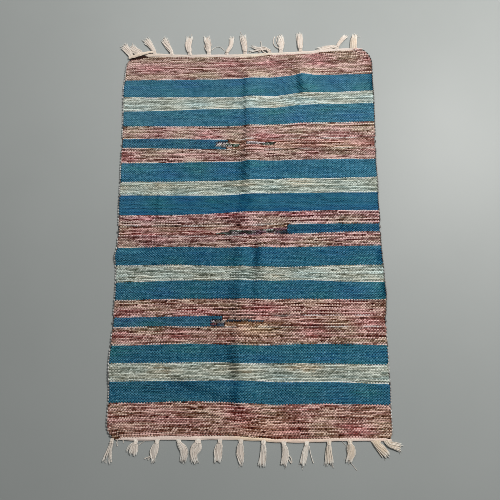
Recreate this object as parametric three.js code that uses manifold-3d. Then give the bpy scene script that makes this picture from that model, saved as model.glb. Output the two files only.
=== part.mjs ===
// A flat-woven cotton rug lying on a floor: one weft-faced cloth, and at each end
// a narrow cream heading with a row of knotted warp tassels, joined into one comb.
// Millimetres, +Z up, X across the rug, +Y towards the far end. Z = 0 is the floor.

import * as THREE from 'three';
import { mergeVertices } from 'three/addons/utils/BufferGeometryUtils.js';
import Module from 'manifold-3d';

const wasm = await Module();
wasm.setup();

// ---- driving dimensions ---------------------------------------------------

const WIDTH = 600; // selvedge to selvedge
const LENGTH = 900; // outer edge of one heading to outer edge of the other
const CLOTH_THICK = 4.2; // weft-faced cotton weave
const HEADING_LEAST = 4; // the cream heading strip along each end, where it is narrowest
const HEADING_THICK = 5;
const SEAM_GAP = 0.3; // between the cloth and each heading
const COLUMNS = 26; // grid of the cloth across the rug
const ROWS = 34; // and along it
const CENTRE_PULL = 0.5; // grid columns crowd towards the lengthwise crease

const TASSEL_ROOT_WIDE = 9; // at the knot
const TASSEL_KNOT_THICK = 9;
const TASSEL_TIP_THICK = 6.5;
const TASSEL_ROOT_DEEP = 2.4; // how far the knot sits inside the heading
const TASSEL_LEAVE = 7; // how far it stands straight out before it bends
const TASSEL_SIDES = 8;
const TASSEL_STEPS = 5;

// Two corners are worn round: "end" is where the round meets the end of the rug.
const FAR_RIGHT_ROUND = { end: 455, radius: 45 };
const NEAR_LEFT_ROUND = { end: -452, radius: 34 };
const ROUND_STOP = 3; // the round is cut short this far from the end

// Selvedges: how far the left and right edges stand at each height along the rug.
const SELVEDGES = [
  { y: 450, left: -294, right: 301 },
  { y: 400, left: -300, right: 300 },
  { y: 350, left: -303, right: 300 },
  { y: 270, left: -300, right: 300 },
  { y: 180, left: -300, right: 298 },
  { y: 60, left: -299, right: 298 },
  { y: -25, left: -298, right: 299 },
  { y: -58, left: -302, right: 300 },
  { y: -92, left: -298, right: 301 },
  { y: -145, left: -298, right: 304 },
  { y: -195, left: -299, right: 300 },
  { y: -280, left: -303, right: 300 },
  { y: -360, left: -300, right: 301 },
  { y: -425, left: -301, right: 300 },
  { y: -450, left: -301, right: 299 },
];

// Ends: where the outer edges of the two headings run across the rug, and how wide each heading is.
const ENDS = [
  { x: -300, top: 434, bottom: -449.5, headTop: 4, headBottom: 4 },
  { x: -275, top: 444, bottom: -450.3, headTop: 8, headBottom: 5.8 },
  { x: -245, top: 452.3, bottom: -451, headTop: 11.5, headBottom: 7 },
  { x: -223, top: 452, bottom: -451, headTop: 10.5, headBottom: 8 },
  { x: -173, top: 448.3, bottom: -450, headTop: 9, headBottom: 9.2 },
  { x: -80, top: 446, bottom: -448.6, headTop: 8.2, headBottom: 8.6 },
  { x: -35, top: 445.2, bottom: -449.3, headTop: 9.4, headBottom: 8.8 },
  { x: 18, top: 446, bottom: -450.5, headTop: 8.4, headBottom: 6.8 },
  { x: 58, top: 447.5, bottom: -453.5, headTop: 6.8, headBottom: 7.2 },
  { x: 100, top: 448, bottom: -453.8, headTop: 7, headBottom: 7.8 },
  { x: 148, top: 450, bottom: -453.2, headTop: 9.2, headBottom: 8 },
  { x: 192, top: 453, bottom: -450.3, headTop: 8.2, headBottom: 6.3 },
  { x: 240, top: 455, bottom: -450.3, headTop: 7.4, headBottom: 6.2 },
  { x: 275, top: 454, bottom: -451, headTop: 4.5, headBottom: 7.2 },
  { x: 300, top: 454, bottom: -450, headTop: 4, headBottom: 6 },
];

// Folds: low soft ridges left in the cloth. Each runs from (x1, y1) to (x2, y2);
// "near" and "far" are the widths of its two flanks (near = left or lower one).
const FOLDS = [
  { x1: 3, y1: 388, x2: 6, y2: 60, rise: 6.0, near: 28, far: 65 }, // lengthwise crease, upper part
  { x1: -16, y1: 60, x2: -16, y2: -150, rise: 5.2, near: 45, far: 25 }, // left lip of the valley
  { x1: 36, y1: 60, x2: 26, y2: -140, rise: 5.0, near: 22, far: 52 }, // right lip of the valley
  { x1: -16, y1: -150, x2: -17, y2: -385, rise: 5.6, near: 25, far: 60 }, // lengthwise crease, lower part
  { x1: 128, y1: 402, x2: 125, y2: 355, rise: 8.0, near: 20, far: 42 }, // short fold at the far right
  { x1: -175, y1: -305, x2: -20, y2: -362, rise: 4.2, near: 26, far: 50 }, // slanting crease, near left
  { x1: -310, y1: -322, x2: -110, y2: -328, rise: 3.0, near: 30, far: 40 }, // cross ripple, near left
  { x1: 310, y1: -145, x2: 235, y2: -140, rise: 4.0, near: 26, far: 30 }, // ripple at the right selvedge
  { x1: -310, y1: -56, x2: -250, y2: -52, rise: 3.5, near: 18, far: 18 }, // pucker at the left selvedge
];
const FOLD_TAIL = 45; // length over which a fold dies out

// Tassels: root position along the heading, reach of the tip from the root,
// sideways bow half way along, and width at the loose end.
const TOP_TASSELS = [
  { x: -282, reachX: -29, reachY: 35, bow: 4, wide: 17 },
  { x: -259, reachX: -29, reachY: 22, bow: 2, wide: 14 },
  { x: -229, reachX: -25, reachY: 42, bow: -0.5, wide: 15 },
  { x: -186, reachX: -23, reachY: 47, bow: 2, wide: 14 },
  { x: -142, reachX: -3, reachY: 50, bow: 3.5, wide: 17 },
  { x: -95, reachX: -7, reachY: 50, bow: -0.5, wide: 16 },
  { x: -52, reachX: 13, reachY: 48, bow: -5.5, wide: 12 },
  { x: -6, reachX: -6, reachY: 52, bow: -0.5, wide: 16 },
  { x: 54, reachX: -46, reachY: 8, bow: -1, wide: 14 },
  { x: 81, reachX: 0, reachY: 48, bow: -2.5, wide: 14 },
  { x: 129, reachX: -1, reachY: 52, bow: 0.5, wide: 16 },
  { x: 218, reachX: -50, reachY: -2, bow: -1, wide: 10 },
  { x: 217, reachX: 26, reachY: 37, bow: 1, wide: 13 },
  { x: 257, reachX: 7, reachY: 38, bow: 1, wide: 19 },
];
const BOTTOM_TASSELS = [
  { x: -281, reachX: -16, reachY: -45, bow: -6, wide: 14 },
  { x: -236, reachX: -9, reachY: -28, bow: -1, wide: 20 },
  { x: -191, reachX: -7, reachY: -44, bow: -3.5, wide: 12 },
  { x: -146, reachX: 10, reachY: -44, bow: 9.5, wide: 16 },
  { x: -106, reachX: -6, reachY: -46, bow: -7.5, wide: 11 },
  { x: -103, reachX: -4, reachY: -45, bow: -5.5, wide: 11 },
  { x: -59, reachX: -5, reachY: -46, bow: -1.5, wide: 18 },
  { x: -15, reachX: 2, reachY: -49, bow: -3.5, wide: 13 },
  { x: 32, reachX: -5, reachY: -50, bow: 2.5, wide: 16 },
  { x: 74, reachX: 0, reachY: -47, bow: 5, wide: 16 },
  { x: 122, reachX: -12, reachY: -46, bow: 0.5, wide: 14 },
  { x: 168, reachX: -2, reachY: -46, bow: -0.5, wide: 18 },
  { x: 211, reachX: -4, reachY: -42, bow: 4.5, wide: 17 },
  { x: 265, reachX: 23, reachY: -31, bow: 2, wide: 18 },
  { x: 288, reachX: 28, reachY: -15, bow: 1.5, wide: 16 },
];

const ROSE = 0xa4786f;
const CREAM = 0xe2d6c6;

// ---- shape functions --------------------------------------------------------

const smooth = (t) => {
  const s = Math.min(1, Math.max(0, t));
  return s * s * (3 - 2 * s);
};

// Reads one named column of a table whose rows are ordered by the key column.
function along(table, key, column, at) {
  const rows = table[0][key] < table[table.length - 1][key] ? table : [...table].reverse();
  if (at <= rows[0][key]) return rows[0][column];
  for (let i = 1; i < rows.length; i++) {
    if (at <= rows[i][key]) {
      const t = (at - rows[i - 1][key]) / (rows[i][key] - rows[i - 1][key]);
      return rows[i - 1][column] + (rows[i][column] - rows[i - 1][column]) * smooth(t);
    }
  }
  return rows[rows.length - 1][column];
}

// Height of the cloth's underside above the floor.
function liftAt(x, y) {
  let lift = 0;
  for (const f of FOLDS) {
    const dx = f.x2 - f.x1;
    const dy = f.y2 - f.y1;
    const length = Math.hypot(dx, dy);
    const s = ((x - f.x1) * dx + (y - f.y1) * dy) / length; // along the fold
    let d = ((x - f.x1) * dy - (y - f.y1) * dx) / length; // to its side
    if (Math.abs(dy) > Math.abs(dx)) d = dy < 0 ? -d : d;
    else d = dx > 0 ? -d : d; // negative = left of, or below, the crest
    const flank = d < 0 ? 1 - smooth(-d / f.near) : 1 - smooth(d / f.far);
    const fade = smooth(s / FOLD_TAIL + 0.5) * smooth((length - s) / FOLD_TAIL + 0.5);
    lift = Math.max(lift, f.rise * flank * fade);
  }
  return lift < 0.15 ? 0 : lift;
}

// How far in the edge has moved at a worn corner.
function wornRound(corner, y) {
  const towards = Math.sign(corner.end);
  const at = Math.min(y * towards, LENGTH / 2 - ROUND_STOP);
  const past = Math.max(0, corner.radius - (corner.end * towards - at));
  return corner.radius - Math.sqrt(corner.radius ** 2 - past ** 2);
}

const outerEdge = (side, x) => along(ENDS, 'x', side > 0 ? 'top' : 'bottom', x);
const headingWide = (side, x) => Math.max(HEADING_LEAST, along(ENDS, 'x', side > 0 ? 'headTop' : 'headBottom', x));

// Where a place across the flat width lies at a height along the rug.
function acrossAt(x, y) {
  const left = along(SELVEDGES, 'y', 'left', y) + wornRound(NEAR_LEFT_ROUND, y);
  const right = along(SELVEDGES, 'y', 'right', y) - wornRound(FAR_RIGHT_ROUND, y);
  return left + ((right - left) * (x + WIDTH / 2)) / WIDTH;
}

// From the flat cut rectangle to the outline of the cloth as it lies between the headings.
function layOut(x, y) {
  const px = acrossAt(x, y);
  const top = outerEdge(1, px) - headingWide(1, px) - SEAM_GAP;
  const bottom = outerEdge(-1, px) + headingWide(-1, px) + SEAM_GAP;
  return { px, py: bottom + ((top - bottom) * (y + LENGTH / 2)) / LENGTH };
}

// Grid columns crowd towards the middle, where the lengthwise crease is.
const crowd = (x) => {
  const s = x / (WIDTH / 2);
  return (WIDTH / 2) * (CENTRE_PULL * s + (1 - CENTRE_PULL) * s ** 3);
};

function moveVertices(geometry, mover) {
  const p = geometry.attributes.position;
  const v = new THREE.Vector3();
  for (let i = 0; i < p.count; i++) {
    v.fromBufferAttribute(p, i);
    mover(v);
    p.setXYZ(i, v.x, v.y, v.z);
  }
  return weld(geometry);
}

function weld(geometry) {
  geometry.deleteAttribute('normal');
  geometry.deleteAttribute('uv');
  return mergeVertices(geometry, 1e-4);
}

function toSolid(geometry) {
  return new wasm.Manifold(
    new wasm.Mesh({
      numProp: 3,
      vertProperties: new Float32Array(geometry.attributes.position.array),
      triVerts: new Uint32Array(geometry.index.array),
    }),
  );
}

function fromSolid(solid) {
  const mesh = solid.getMesh();
  const geometry = new THREE.BufferGeometry();
  const xyz = new Float32Array((mesh.vertProperties.length / mesh.numProp) * 3);
  for (let i = 0; i < xyz.length / 3; i++) {
    for (let k = 0; k < 3; k++) xyz[3 * i + k] = mesh.vertProperties[mesh.numProp * i + k];
  }
  geometry.setAttribute('position', new THREE.BufferAttribute(xyz, 3));
  geometry.setIndex(new THREE.BufferAttribute(new Uint32Array(mesh.triVerts), 1));
  geometry.computeVertexNormals();
  return geometry;
}

// ---- cloth ------------------------------------------------------------------

function clothGeometry() {
  const sheet = new THREE.BoxGeometry(WIDTH, LENGTH, CLOTH_THICK, COLUMNS, ROWS, 1);
  const geometry = moveVertices(sheet, (v) => {
    const { px, py } = layOut(crowd(v.x), v.y);
    v.set(px, py, v.z + CLOTH_THICK / 2 + liftAt(px, py));
  });
  geometry.computeVertexNormals();
  return geometry;
}

// ---- heading and tassels ------------------------------------------------------

// Rolled strip that follows one end of the cloth.
function headingGeometry(side) {
  const roll = new THREE.CylinderGeometry(1, 1, WIDTH, TASSEL_SIDES, COLUMNS, false, Math.PI / TASSEL_SIDES);
  const apothem = Math.cos(Math.PI / TASSEL_SIDES);
  roll.rotateZ(-Math.PI / 2); // axis along X, section in Y and Z
  return moveVertices(roll, (v) => {
    const px = acrossAt(crowd(v.x), (side * LENGTH) / 2);
    const py = outerEdge(side, px);
    const across = ((v.y / apothem - side) * headingWide(side, px)) / 2;
    v.set(px, py + across, (v.z / apothem + 1) * (HEADING_THICK / 2) + liftAt(px, py));
  });
}

// One tassel: a flattened bundle of yarn lying on the floor, spreading to its tip.
function tasselGeometry(t, side) {
  const root = { px: t.x, py: outerEdge(side, t.x) };
  const start = new THREE.Vector2(root.px, root.py - side * TASSEL_ROOT_DEEP);
  const end = new THREE.Vector2(root.px + t.reachX, root.py + t.reachY);
  const sideways = new THREE.Vector2(-t.reachY, t.reachX).normalize();
  const leave = new THREE.Vector2(root.px, root.py + side * TASSEL_LEAVE); // straight out of the knot
  const bend = leave.clone().lerp(end, 0.55).addScaledVector(sideways, 2 * t.bow);
  const path = new THREE.CubicBezierCurve(start, leave, bend, end);
  const rootLift = liftAt(root.px, root.py);

  const bundle = new THREE.CylinderGeometry(1, 1, 1, TASSEL_SIDES, TASSEL_STEPS, false, Math.PI / TASSEL_SIDES);
  const apothem = Math.cos(Math.PI / TASSEL_SIDES);
  return moveVertices(bundle, (v) => {
    const s = 0.5 - v.y; // 0 at the root, 1 at the tip
    const at = path.getPoint(s);
    const along2 = path.getTangent(s);
    const wide = TASSEL_ROOT_WIDE + (t.wide - TASSEL_ROOT_WIDE) * smooth(s * 1.2);
    const thick = TASSEL_KNOT_THICK + (TASSEL_TIP_THICK - TASSEL_KNOT_THICK) * smooth(s * 1.5);
    const across = ((v.x / apothem) * wide) / 2;
    v.set(
      at.x - along2.y * across,
      at.y + along2.x * across,
      (v.z / apothem + 1) * (thick / 2) + rootLift * (1 - smooth(s * 2)),
    );
  });
}

// Faces of a mapped bundle may come out reversed; a closed body must enclose a positive volume.
function outward(geometry) {
  const p = geometry.attributes.position;
  const index = geometry.index.array;
  const [a, b, c] = [new THREE.Vector3(), new THREE.Vector3(), new THREE.Vector3()];
  let volume = 0;
  for (let i = 0; i < index.length; i += 3) {
    a.fromBufferAttribute(p, index[i]);
    b.fromBufferAttribute(p, index[i + 1]);
    c.fromBufferAttribute(p, index[i + 2]);
    volume += a.dot(b.cross(c)) / 6;
  }
  if (volume < 0) {
    for (let i = 0; i < index.length; i += 3) [index[i + 1], index[i + 2]] = [index[i + 2], index[i + 1]];
  }
  return geometry;
}

function combGeometry(tassels, side) {
  let comb = toSolid(outward(headingGeometry(side)));
  for (const t of tassels) comb = comb.add(toSolid(outward(tasselGeometry(t, side))));
  return fromSolid(comb);
}

// ---- the rug ------------------------------------------------------------------

const cotton = (color) => new THREE.MeshStandardMaterial({ color, roughness: 0.95, metalness: 0 });

function piece(name, geometry, color) {
  const mesh = new THREE.Mesh(geometry, cotton(color));
  mesh.name = name;
  return mesh;
}

const rug = new THREE.Group();
rug.add(piece('cloth', clothGeometry(), ROSE));
rug.add(piece('fringe_top', combGeometry(TOP_TASSELS, 1), CREAM));
rug.add(piece('fringe_bottom', combGeometry(BOTTOM_TASSELS, -1), CREAM));

// The origin is on the floor under the middle of the whole outline, fringe included.
const box = new THREE.Box3().setFromObject(rug, true);
const middle = box.getCenter(new THREE.Vector3());
rug.position.set(-middle.x, -middle.y, -box.min.z);

export default rug;
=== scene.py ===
"""A flat-woven cotton rug lying on a floor: weft yarns over and under a hidden warp,
striped by changing the weft, with a cream heading and knotted tassels at both ends."""

import math

import bpy
import numpy as np
from mathutils import Matrix, Vector


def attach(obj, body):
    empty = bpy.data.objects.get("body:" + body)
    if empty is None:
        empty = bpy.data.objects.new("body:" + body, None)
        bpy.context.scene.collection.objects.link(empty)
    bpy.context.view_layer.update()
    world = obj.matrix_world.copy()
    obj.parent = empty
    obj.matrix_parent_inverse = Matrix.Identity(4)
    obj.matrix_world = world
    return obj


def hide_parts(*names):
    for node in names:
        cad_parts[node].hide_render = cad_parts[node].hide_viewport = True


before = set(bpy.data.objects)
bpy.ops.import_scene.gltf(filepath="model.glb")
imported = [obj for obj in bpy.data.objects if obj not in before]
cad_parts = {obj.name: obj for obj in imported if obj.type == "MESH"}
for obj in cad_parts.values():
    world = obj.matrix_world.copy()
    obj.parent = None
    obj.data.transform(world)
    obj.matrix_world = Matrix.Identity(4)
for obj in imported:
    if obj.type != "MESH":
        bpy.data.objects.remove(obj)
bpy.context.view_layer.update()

# ---------------------------------------------------------------------------
# Sizes, in millimetres, measured from the middle of the woven rectangle
# ---------------------------------------------------------------------------

SHIFT_X, SHIFT_Y = -0.489, 1.479  # from the woven rectangle's middle to the frame's origin
WIDTH = 600.0

WARP_ENDS = 200
WARP_STEP = WIDTH / WARP_ENDS
MID_HEIGHT = 2.25  # the warp's height above the underside of the cloth
CROWN_HALF_LONG = 1.1  # the flat top of each weft float, half its length
LOOP_ROOM = 2.6  # room at each selvedge for the weft to turn

# Selvedges and ends: the outline as it lies.
SELVEDGES = [
    dict(y=450, left=-294, right=301),
    dict(y=400, left=-300, right=300),
    dict(y=350, left=-303, right=300),
    dict(y=270, left=-300, right=300),
    dict(y=180, left=-300, right=298),
    dict(y=60, left=-299, right=298),
    dict(y=-25, left=-298, right=299),
    dict(y=-58, left=-302, right=300),
    dict(y=-92, left=-298, right=301),
    dict(y=-145, left=-298, right=304),
    dict(y=-195, left=-299, right=300),
    dict(y=-280, left=-303, right=300),
    dict(y=-360, left=-300, right=301),
    dict(y=-425, left=-301, right=300),
    dict(y=-450, left=-301, right=299),
]
# The two corners that have worn round: end is where the round meets the end of the rug.
FAR_RIGHT_ROUND = dict(end=455.0, radius=45.0)
NEAR_LEFT_ROUND = dict(end=-452.0, radius=34.0)
# headTop and headBottom: how much of the end the pale heading takes up.
ENDS = [
    dict(x=-300, top=434, bottom=-449.5, headTop=2.0, headBottom=1.0),
    dict(x=-289, top=440, bottom=-450, headTop=5.0, headBottom=3.0),
    dict(x=-275, top=444, bottom=-450.3, headTop=8.0, headBottom=5.8),
    dict(x=-262, top=448.5, bottom=-450.6, headTop=10.0, headBottom=6.6),
    dict(x=-245, top=452.3, bottom=-451, headTop=11.5, headBottom=7.0),
    dict(x=-223, top=452, bottom=-451, headTop=10.5, headBottom=8.0),
    dict(x=-173, top=448.3, bottom=-450, headTop=9.0, headBottom=9.2),
    dict(x=-128, top=447, bottom=-450, headTop=8.4, headBottom=8.3),
    dict(x=-80, top=446, bottom=-448.6, headTop=8.2, headBottom=8.6),
    dict(x=-35, top=445.2, bottom=-449.3, headTop=9.4, headBottom=8.8),
    dict(x=18, top=446, bottom=-450.5, headTop=8.4, headBottom=6.8),
    dict(x=58, top=447.5, bottom=-453.5, headTop=6.8, headBottom=7.2),
    dict(x=100, top=448, bottom=-453.8, headTop=7.0, headBottom=7.8),
    dict(x=148, top=450, bottom=-453.2, headTop=9.2, headBottom=8.0),
    dict(x=192, top=453, bottom=-450.3, headTop=8.2, headBottom=6.3),
    dict(x=240, top=455, bottom=-450.3, headTop=7.4, headBottom=6.2),
    dict(x=262, top=455, bottom=-451.2, headTop=6.4, headBottom=7.2),
    dict(x=275, top=454, bottom=-451, headTop=4.5, headBottom=7.2),
    dict(x=287, top=454, bottom=-450.5, headTop=0.8, headBottom=6.6),
    dict(x=300, top=454, bottom=-450, headTop=0.5, headBottom=6.0),
]

# Folds: low ridges from (x1, y1) to (x2, y2); near is the left or lower flank's width.
FOLDS = [
    dict(x1=6, y1=385, x2=8, y2=90, rise=4.0, near=27, far=70),
    dict(x1=-18, y1=75, x2=-14, y2=-105, rise=3.2, near=50, far=24),
    dict(x1=40, y1=70, x2=36, y2=-110, rise=3.2, near=24, far=55),
    dict(x1=-14, y1=-130, x2=-19, y2=-372, rise=3.6, near=23, far=65),
    dict(x1=127, y1=404, x2=116, y2=365, rise=5.0, near=22, far=45),
    dict(x1=-310, y1=-322, x2=-110, y2=-328, rise=3.0, near=30, far=40),
    dict(x1=310, y1=-145, x2=235, y2=-140, rise=4.0, near=26, far=30),
    dict(x1=-310, y1=-56, x2=-250, y2=-52, rise=3.5, near=18, far=18),
]
FOLD_TAIL = 45.0

# Creases pressed into the cloth while it was stored folded: each follows a short line of points,
# rises over the near (left or lower) flank and falls away over the far one. Its dark is painted
# shade: how much darker the weft is coloured along the steep flank, where the shade falls.
CREASES = [
    dict(line=((-1, 392), (-2, 320), (-1, 195)), rise=1.8, near=12, far=45, dark=12),
    dict(line=((1, 225), (2, 130), (0, 60), (-4, 6)), rise=3.3, near=29, far=50, dark=17),
    dict(line=((2, 192), (2, 145)), rise=0.8, near=22, far=30, dark=5),
    dict(line=((-12, -6), (-16, -70), (-17, -200)), rise=3.4, near=34, far=26, dark=10),
    dict(line=((29, -8), (28, -60), (24, -115), (18, -178)), rise=3.0, near=16, far=42, dark=14),
    dict(line=((-23, -212), (-26, -270), (-17, -312), (-13, -355), (-13, -398)), rise=3.2, near=26, far=45, dark=16),
    dict(line=((128, 394), (130, 380), (135, 340)), rise=4.8, near=16, far=36, dark=20),
    dict(line=((-175, -305), (-100, -333), (-20, -362)), rise=4.2, near=26, far=50, dark=12),
    dict(line=((-205, 110), (-205, 5)), rise=1.0, near=10, far=24, dark=10),
]
CREASE_TAIL = 30.0

# Where one weft gives way to the next: heights along the rug at places across it.
STATIONS = (-285, -250, -210, -170, -130, -90, -50, -25, 0, 25, 60, 100, 125, 160, 200, 240, 280)
CHANGES = {
    "rose1_blue1": (379.7, 379.3, 378.3, 377.8, 377.4, 377.2, 378.0, 378.3, 378.1, 378.3, 379.9, 383.0, 384.3, 384.4, 383.5, 383.8, 384.6),
    "blue1_sage1": (335.7, 334.7, 333.4, 332.9, 332.8, 332.1, 331.2, 330.8, 330.8, 330.9, 331.2, 335.2, 338.2, 339.6, 339.0, 339.8, 341.2),
    "sage1_blue2": (297.8, 297.6, 297.6, 298.4, 299.5, 299.8, 299.1, 298.9, 299.0, 299.0, 299.8, 303.8, 306.5, 307.7, 307.2, 307.4, 308.2),
    "blue2_rose2": (259.8, 259.4, 258.3, 257.4, 256.6, 255.9, 255.6, 255.9, 256.4, 256.8, 257.9, 260.0, 261.6, 262.1, 261.3, 261.3, 261.9),
    "rose2_short1": (226.9, 226.3, 225.5, 224.7, 223.4, 221.8, 220.1, 219.2, 218.9, 218.7, 218.8, 219.5, 220.0, 220.1, 219.9, 219.9, 219.9),
    "short1_rose2": (205.4, 204.1, 202.4, 201.4, 200.2, 198.7, 197.8, 197.5, 197.4, 197.2, 197.3, 198.0, 198.5, 198.6, 198.4, 198.4, 198.4),
    "rose2_blue3": (165.7, 165.6, 165.4, 165.4, 165.4, 165.5, 165.7, 165.9, 166.1, 166.3, 166.8, 167.8, 168.3, 168.7, 168.8, 168.4, 167.3),
    "blue3_sage2": (120.6, 120.5, 119.8, 119.3, 119.6, 120.1, 120.2, 120.3, 120.5, 121.2, 122.7, 123.9, 123.9, 123.6, 123.6, 124.1, 124.6),
    "sage2_blue4": (86.9, 86.4, 85.6, 84.9, 84.2, 83.9, 84.6, 85.5, 86.5, 87.1, 87.5, 87.7, 87.5, 87.7, 88.0, 87.7, 87.0),
    "blue4_rose3": (40.3, 40.0, 39.5, 39.4, 40.1, 41.2, 42.8, 43.6, 44.9, 45.4, 44.7, 44.9, 45.4, 46.2, 46.5, 46.2, 45.9),
    "rose3_short2": (13.4, 12.9, 12.0, 11.3, 10.7, 10.4, 10.2, 10.2, 10.5, 11.0, 12.0, 13.2, 13.7, 14.2, 14.3, 13.8, 13.2),
    "short2_rose3": (-7.2, -7.7, -8.6, -9.3, -9.9, -10.2, -10.1, -9.9, -9.6, -9.2, -8.5, -7.4, -6.7, -5.6, -4.6, -4.0, -3.8),
    "rose3_blue5": (-37.7, -37.1, -36.3, -35.9, -36.5, -37.9, -38.9, -38.8, -38.8, -39.2, -39.7, -39.6, -39.1, -38.4, -37.9, -37.6, -37.2),
    "blue5_sage3": (-77.0, -77.1, -76.4, -76.1, -77.6, -79.6, -80.6, -81.0, -81.3, -82.0, -83.3, -83.2, -82.4, -81.3, -80.5, -80.1, -80.2),
    "sage3_blue6": (-116.4, -115.9, -114.2, -112.9, -112.9, -113.3, -113.3, -113.4, -113.6, -114.2, -114.6, -113.8, -113.7, -115.2, -117.4, -118.5, -119.2),
    "blue6_rose4": (-155.4, -155.0, -154.0, -153.3, -153.1, -153.1, -153.3, -153.7, -154.2, -154.7, -155.2, -154.6, -154.5, -155.3, -156.2, -156.3, -156.5),
    "rose4_short3": (-194.7, -194.3, -193.8, -193.1, -192.3, -191.8, -191.8, -191.9, -192.1, -192.5, -192.9, -193.0, -193.0, -193.0, -193.0, -193.0, -193.0),
    "short3_rose4": (-214.5, -214.0, -213.4, -213.0, -213.6, -214.3, -213.9, -213.6, -213.5, -213.6, -213.9, -214.0, -214.0, -214.0, -214.0, -214.0, -214.0),
    "rose4_blue7": (-255.7, -255.2, -254.0, -252.7, -252.1, -252.6, -253.5, -254.2, -255.1, -255.8, -255.4, -253.9, -253.3, -253.2, -253.4, -254.4, -255.9),
    "blue7_sage4": (-291.9, -291.5, -291.5, -291.4, -290.7, -290.1, -290.6, -291.4, -292.2, -292.6, -292.9, -292.7, -292.5, -292.9, -293.9, -294.9, -295.5),
    "sage4_blue8": (-331.6, -330.9, -330.1, -329.9, -329.8, -329.4, -328.8, -328.7, -329.5, -331.1, -332.9, -332.8, -332.4, -332.4, -333.1, -334.8, -336.4),
    "blue8_rose5": (-374.4, -374.4, -373.7, -372.5, -371.6, -371.7, -372.5, -373.5, -374.9, -376.5, -377.9, -377.0, -376.2, -376.0, -376.4, -377.1, -377.9),
}

# Bands from the far end to the near end: weft, number of picks, change above, change below,
# then how this batch of the yarn differs: lighter or darker, how strongly marled, and its cast
# (added to red over green and to green over blue). crisp: how dark the painted shade of its sides and
# dips is against the crowns, and how deep they are, as a share of what is usual; open: the same where it lies open.
BANDS = [
    dict(weft="rose", picks=19, above="far_end", below="rose1_blue1", piece="weft_rose_far", tone=5, contrast=0.70, cast=(-2, -2)),
    dict(weft="blue", picks=16, above="rose1_blue1", below="blue1_sage1", piece="weft_blue_far", tone=-2, contrast=0.62, cast=(3, 1), crisp=0.2),
    dict(weft="sage", picks=11, above="blue1_sage1", below="sage1_blue2", piece="weft_sage", tone=4, contrast=0.80, cast=(1, -2), crisp=0.4, open=0.85),
    dict(weft="blue", picks=14, above="sage1_blue2", below="blue2_rose2", piece="weft_blue_far", tone=3, contrast=0.80, cast=(3, 1), crisp=0.55),
    dict(weft="rose", picks=11, above="blue2_rose2", below="rose2_short1", piece="weft_rose_far", tone=9, contrast=0.80, cast=(-3, -2)),
    dict(weft="short1", picks=7, above="rose2_short1", below="short1_rose2", piece="weft_rose_far", tone=-2, contrast=0.85, cast=(5, 0)),
    dict(weft="rose", picks=11, above="short1_rose2", below="rose2_blue3", piece="weft_rose_far", tone=0, contrast=0.90, cast=(-5, -1), crisp=1.4),
    dict(weft="blue", picks=16, above="rose2_blue3", below="blue3_sage2", piece="weft_blue_far", tone=3, contrast=0.80, cast=(-2, -1), crisp=0.75),
    dict(weft="sage", picks=12, above="blue3_sage2", below="sage2_blue4", piece="weft_sage", tone=0, contrast=0.82, cast=(0, -1)),
    dict(weft="blue", picks=15, above="sage2_blue4", below="blue4_rose3", piece="weft_blue_far", tone=-17, contrast=0.46, cast=(1, -4), crisp=0.1),
    dict(weft="rose", picks=9, above="blue4_rose3", below="rose3_short2", piece="weft_rose_far", tone=2, contrast=0.96, cast=(-1, -6), crisp=1.3),
    dict(weft="short2", picks=7, above="rose3_short2", below="short2_rose3", piece="weft_rose_far", tone=-15, contrast=0.92, cast=(3, -1)),
    dict(weft="rose", picks=10, above="short2_rose3", below="rose3_blue5", piece="weft_rose_near", tone=0, contrast=0.92, cast=(0, -5), crisp=1.4, open=1.15),
    dict(weft="blue", picks=15, above="rose3_blue5", below="blue5_sage3", piece="weft_blue_near", tone=-4, contrast=0.84, cast=(-2, -1)),
    dict(weft="sage", picks=12, above="blue5_sage3", below="sage3_blue6", piece="weft_sage", tone=-6, contrast=1.06, cast=(2, -1)),
    dict(weft="blue", picks=14, above="sage3_blue6", below="blue6_rose4", piece="weft_blue_near", tone=0, contrast=0.90, cast=(-2, 0), crisp=1.15),
    dict(weft="rose", picks=12, above="blue6_rose4", below="rose4_short3", piece="weft_rose_near", tone=0, contrast=0.96, cast=(2, -1), crisp=1.4, open=1.15),
    dict(weft="short3", picks=7, above="rose4_short3", below="short3_rose4", piece="weft_rose_near", tone=-4, contrast=0.90, cast=(6, -1)),
    dict(weft="rose", picks=12, above="short3_rose4", below="rose4_blue7", piece="weft_rose_near", tone=5, contrast=0.92, cast=(-1, 1), crisp=2.0, open=1.5),
    dict(weft="blue", picks=13, above="rose4_blue7", below="blue7_sage4", piece="weft_blue_near", tone=-2, contrast=0.90, cast=(-2, 2)),
    dict(weft="sage", picks=13, above="blue7_sage4", below="sage4_blue8", piece="weft_sage", tone=-7, contrast=0.91, cast=(3, 0), crisp=0.6),
    dict(weft="blue", picks=15, above="sage4_blue8", below="blue8_rose5", piece="weft_blue_near", tone=-1, contrast=0.84, cast=(-1, 0)),
    dict(weft="rose", picks=21, above="blue8_rose5", below="near_end", piece="weft_rose_near", tone=4, contrast=0.92, cast=(4, 1), crisp=1.4, open=1.25),
]

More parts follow.
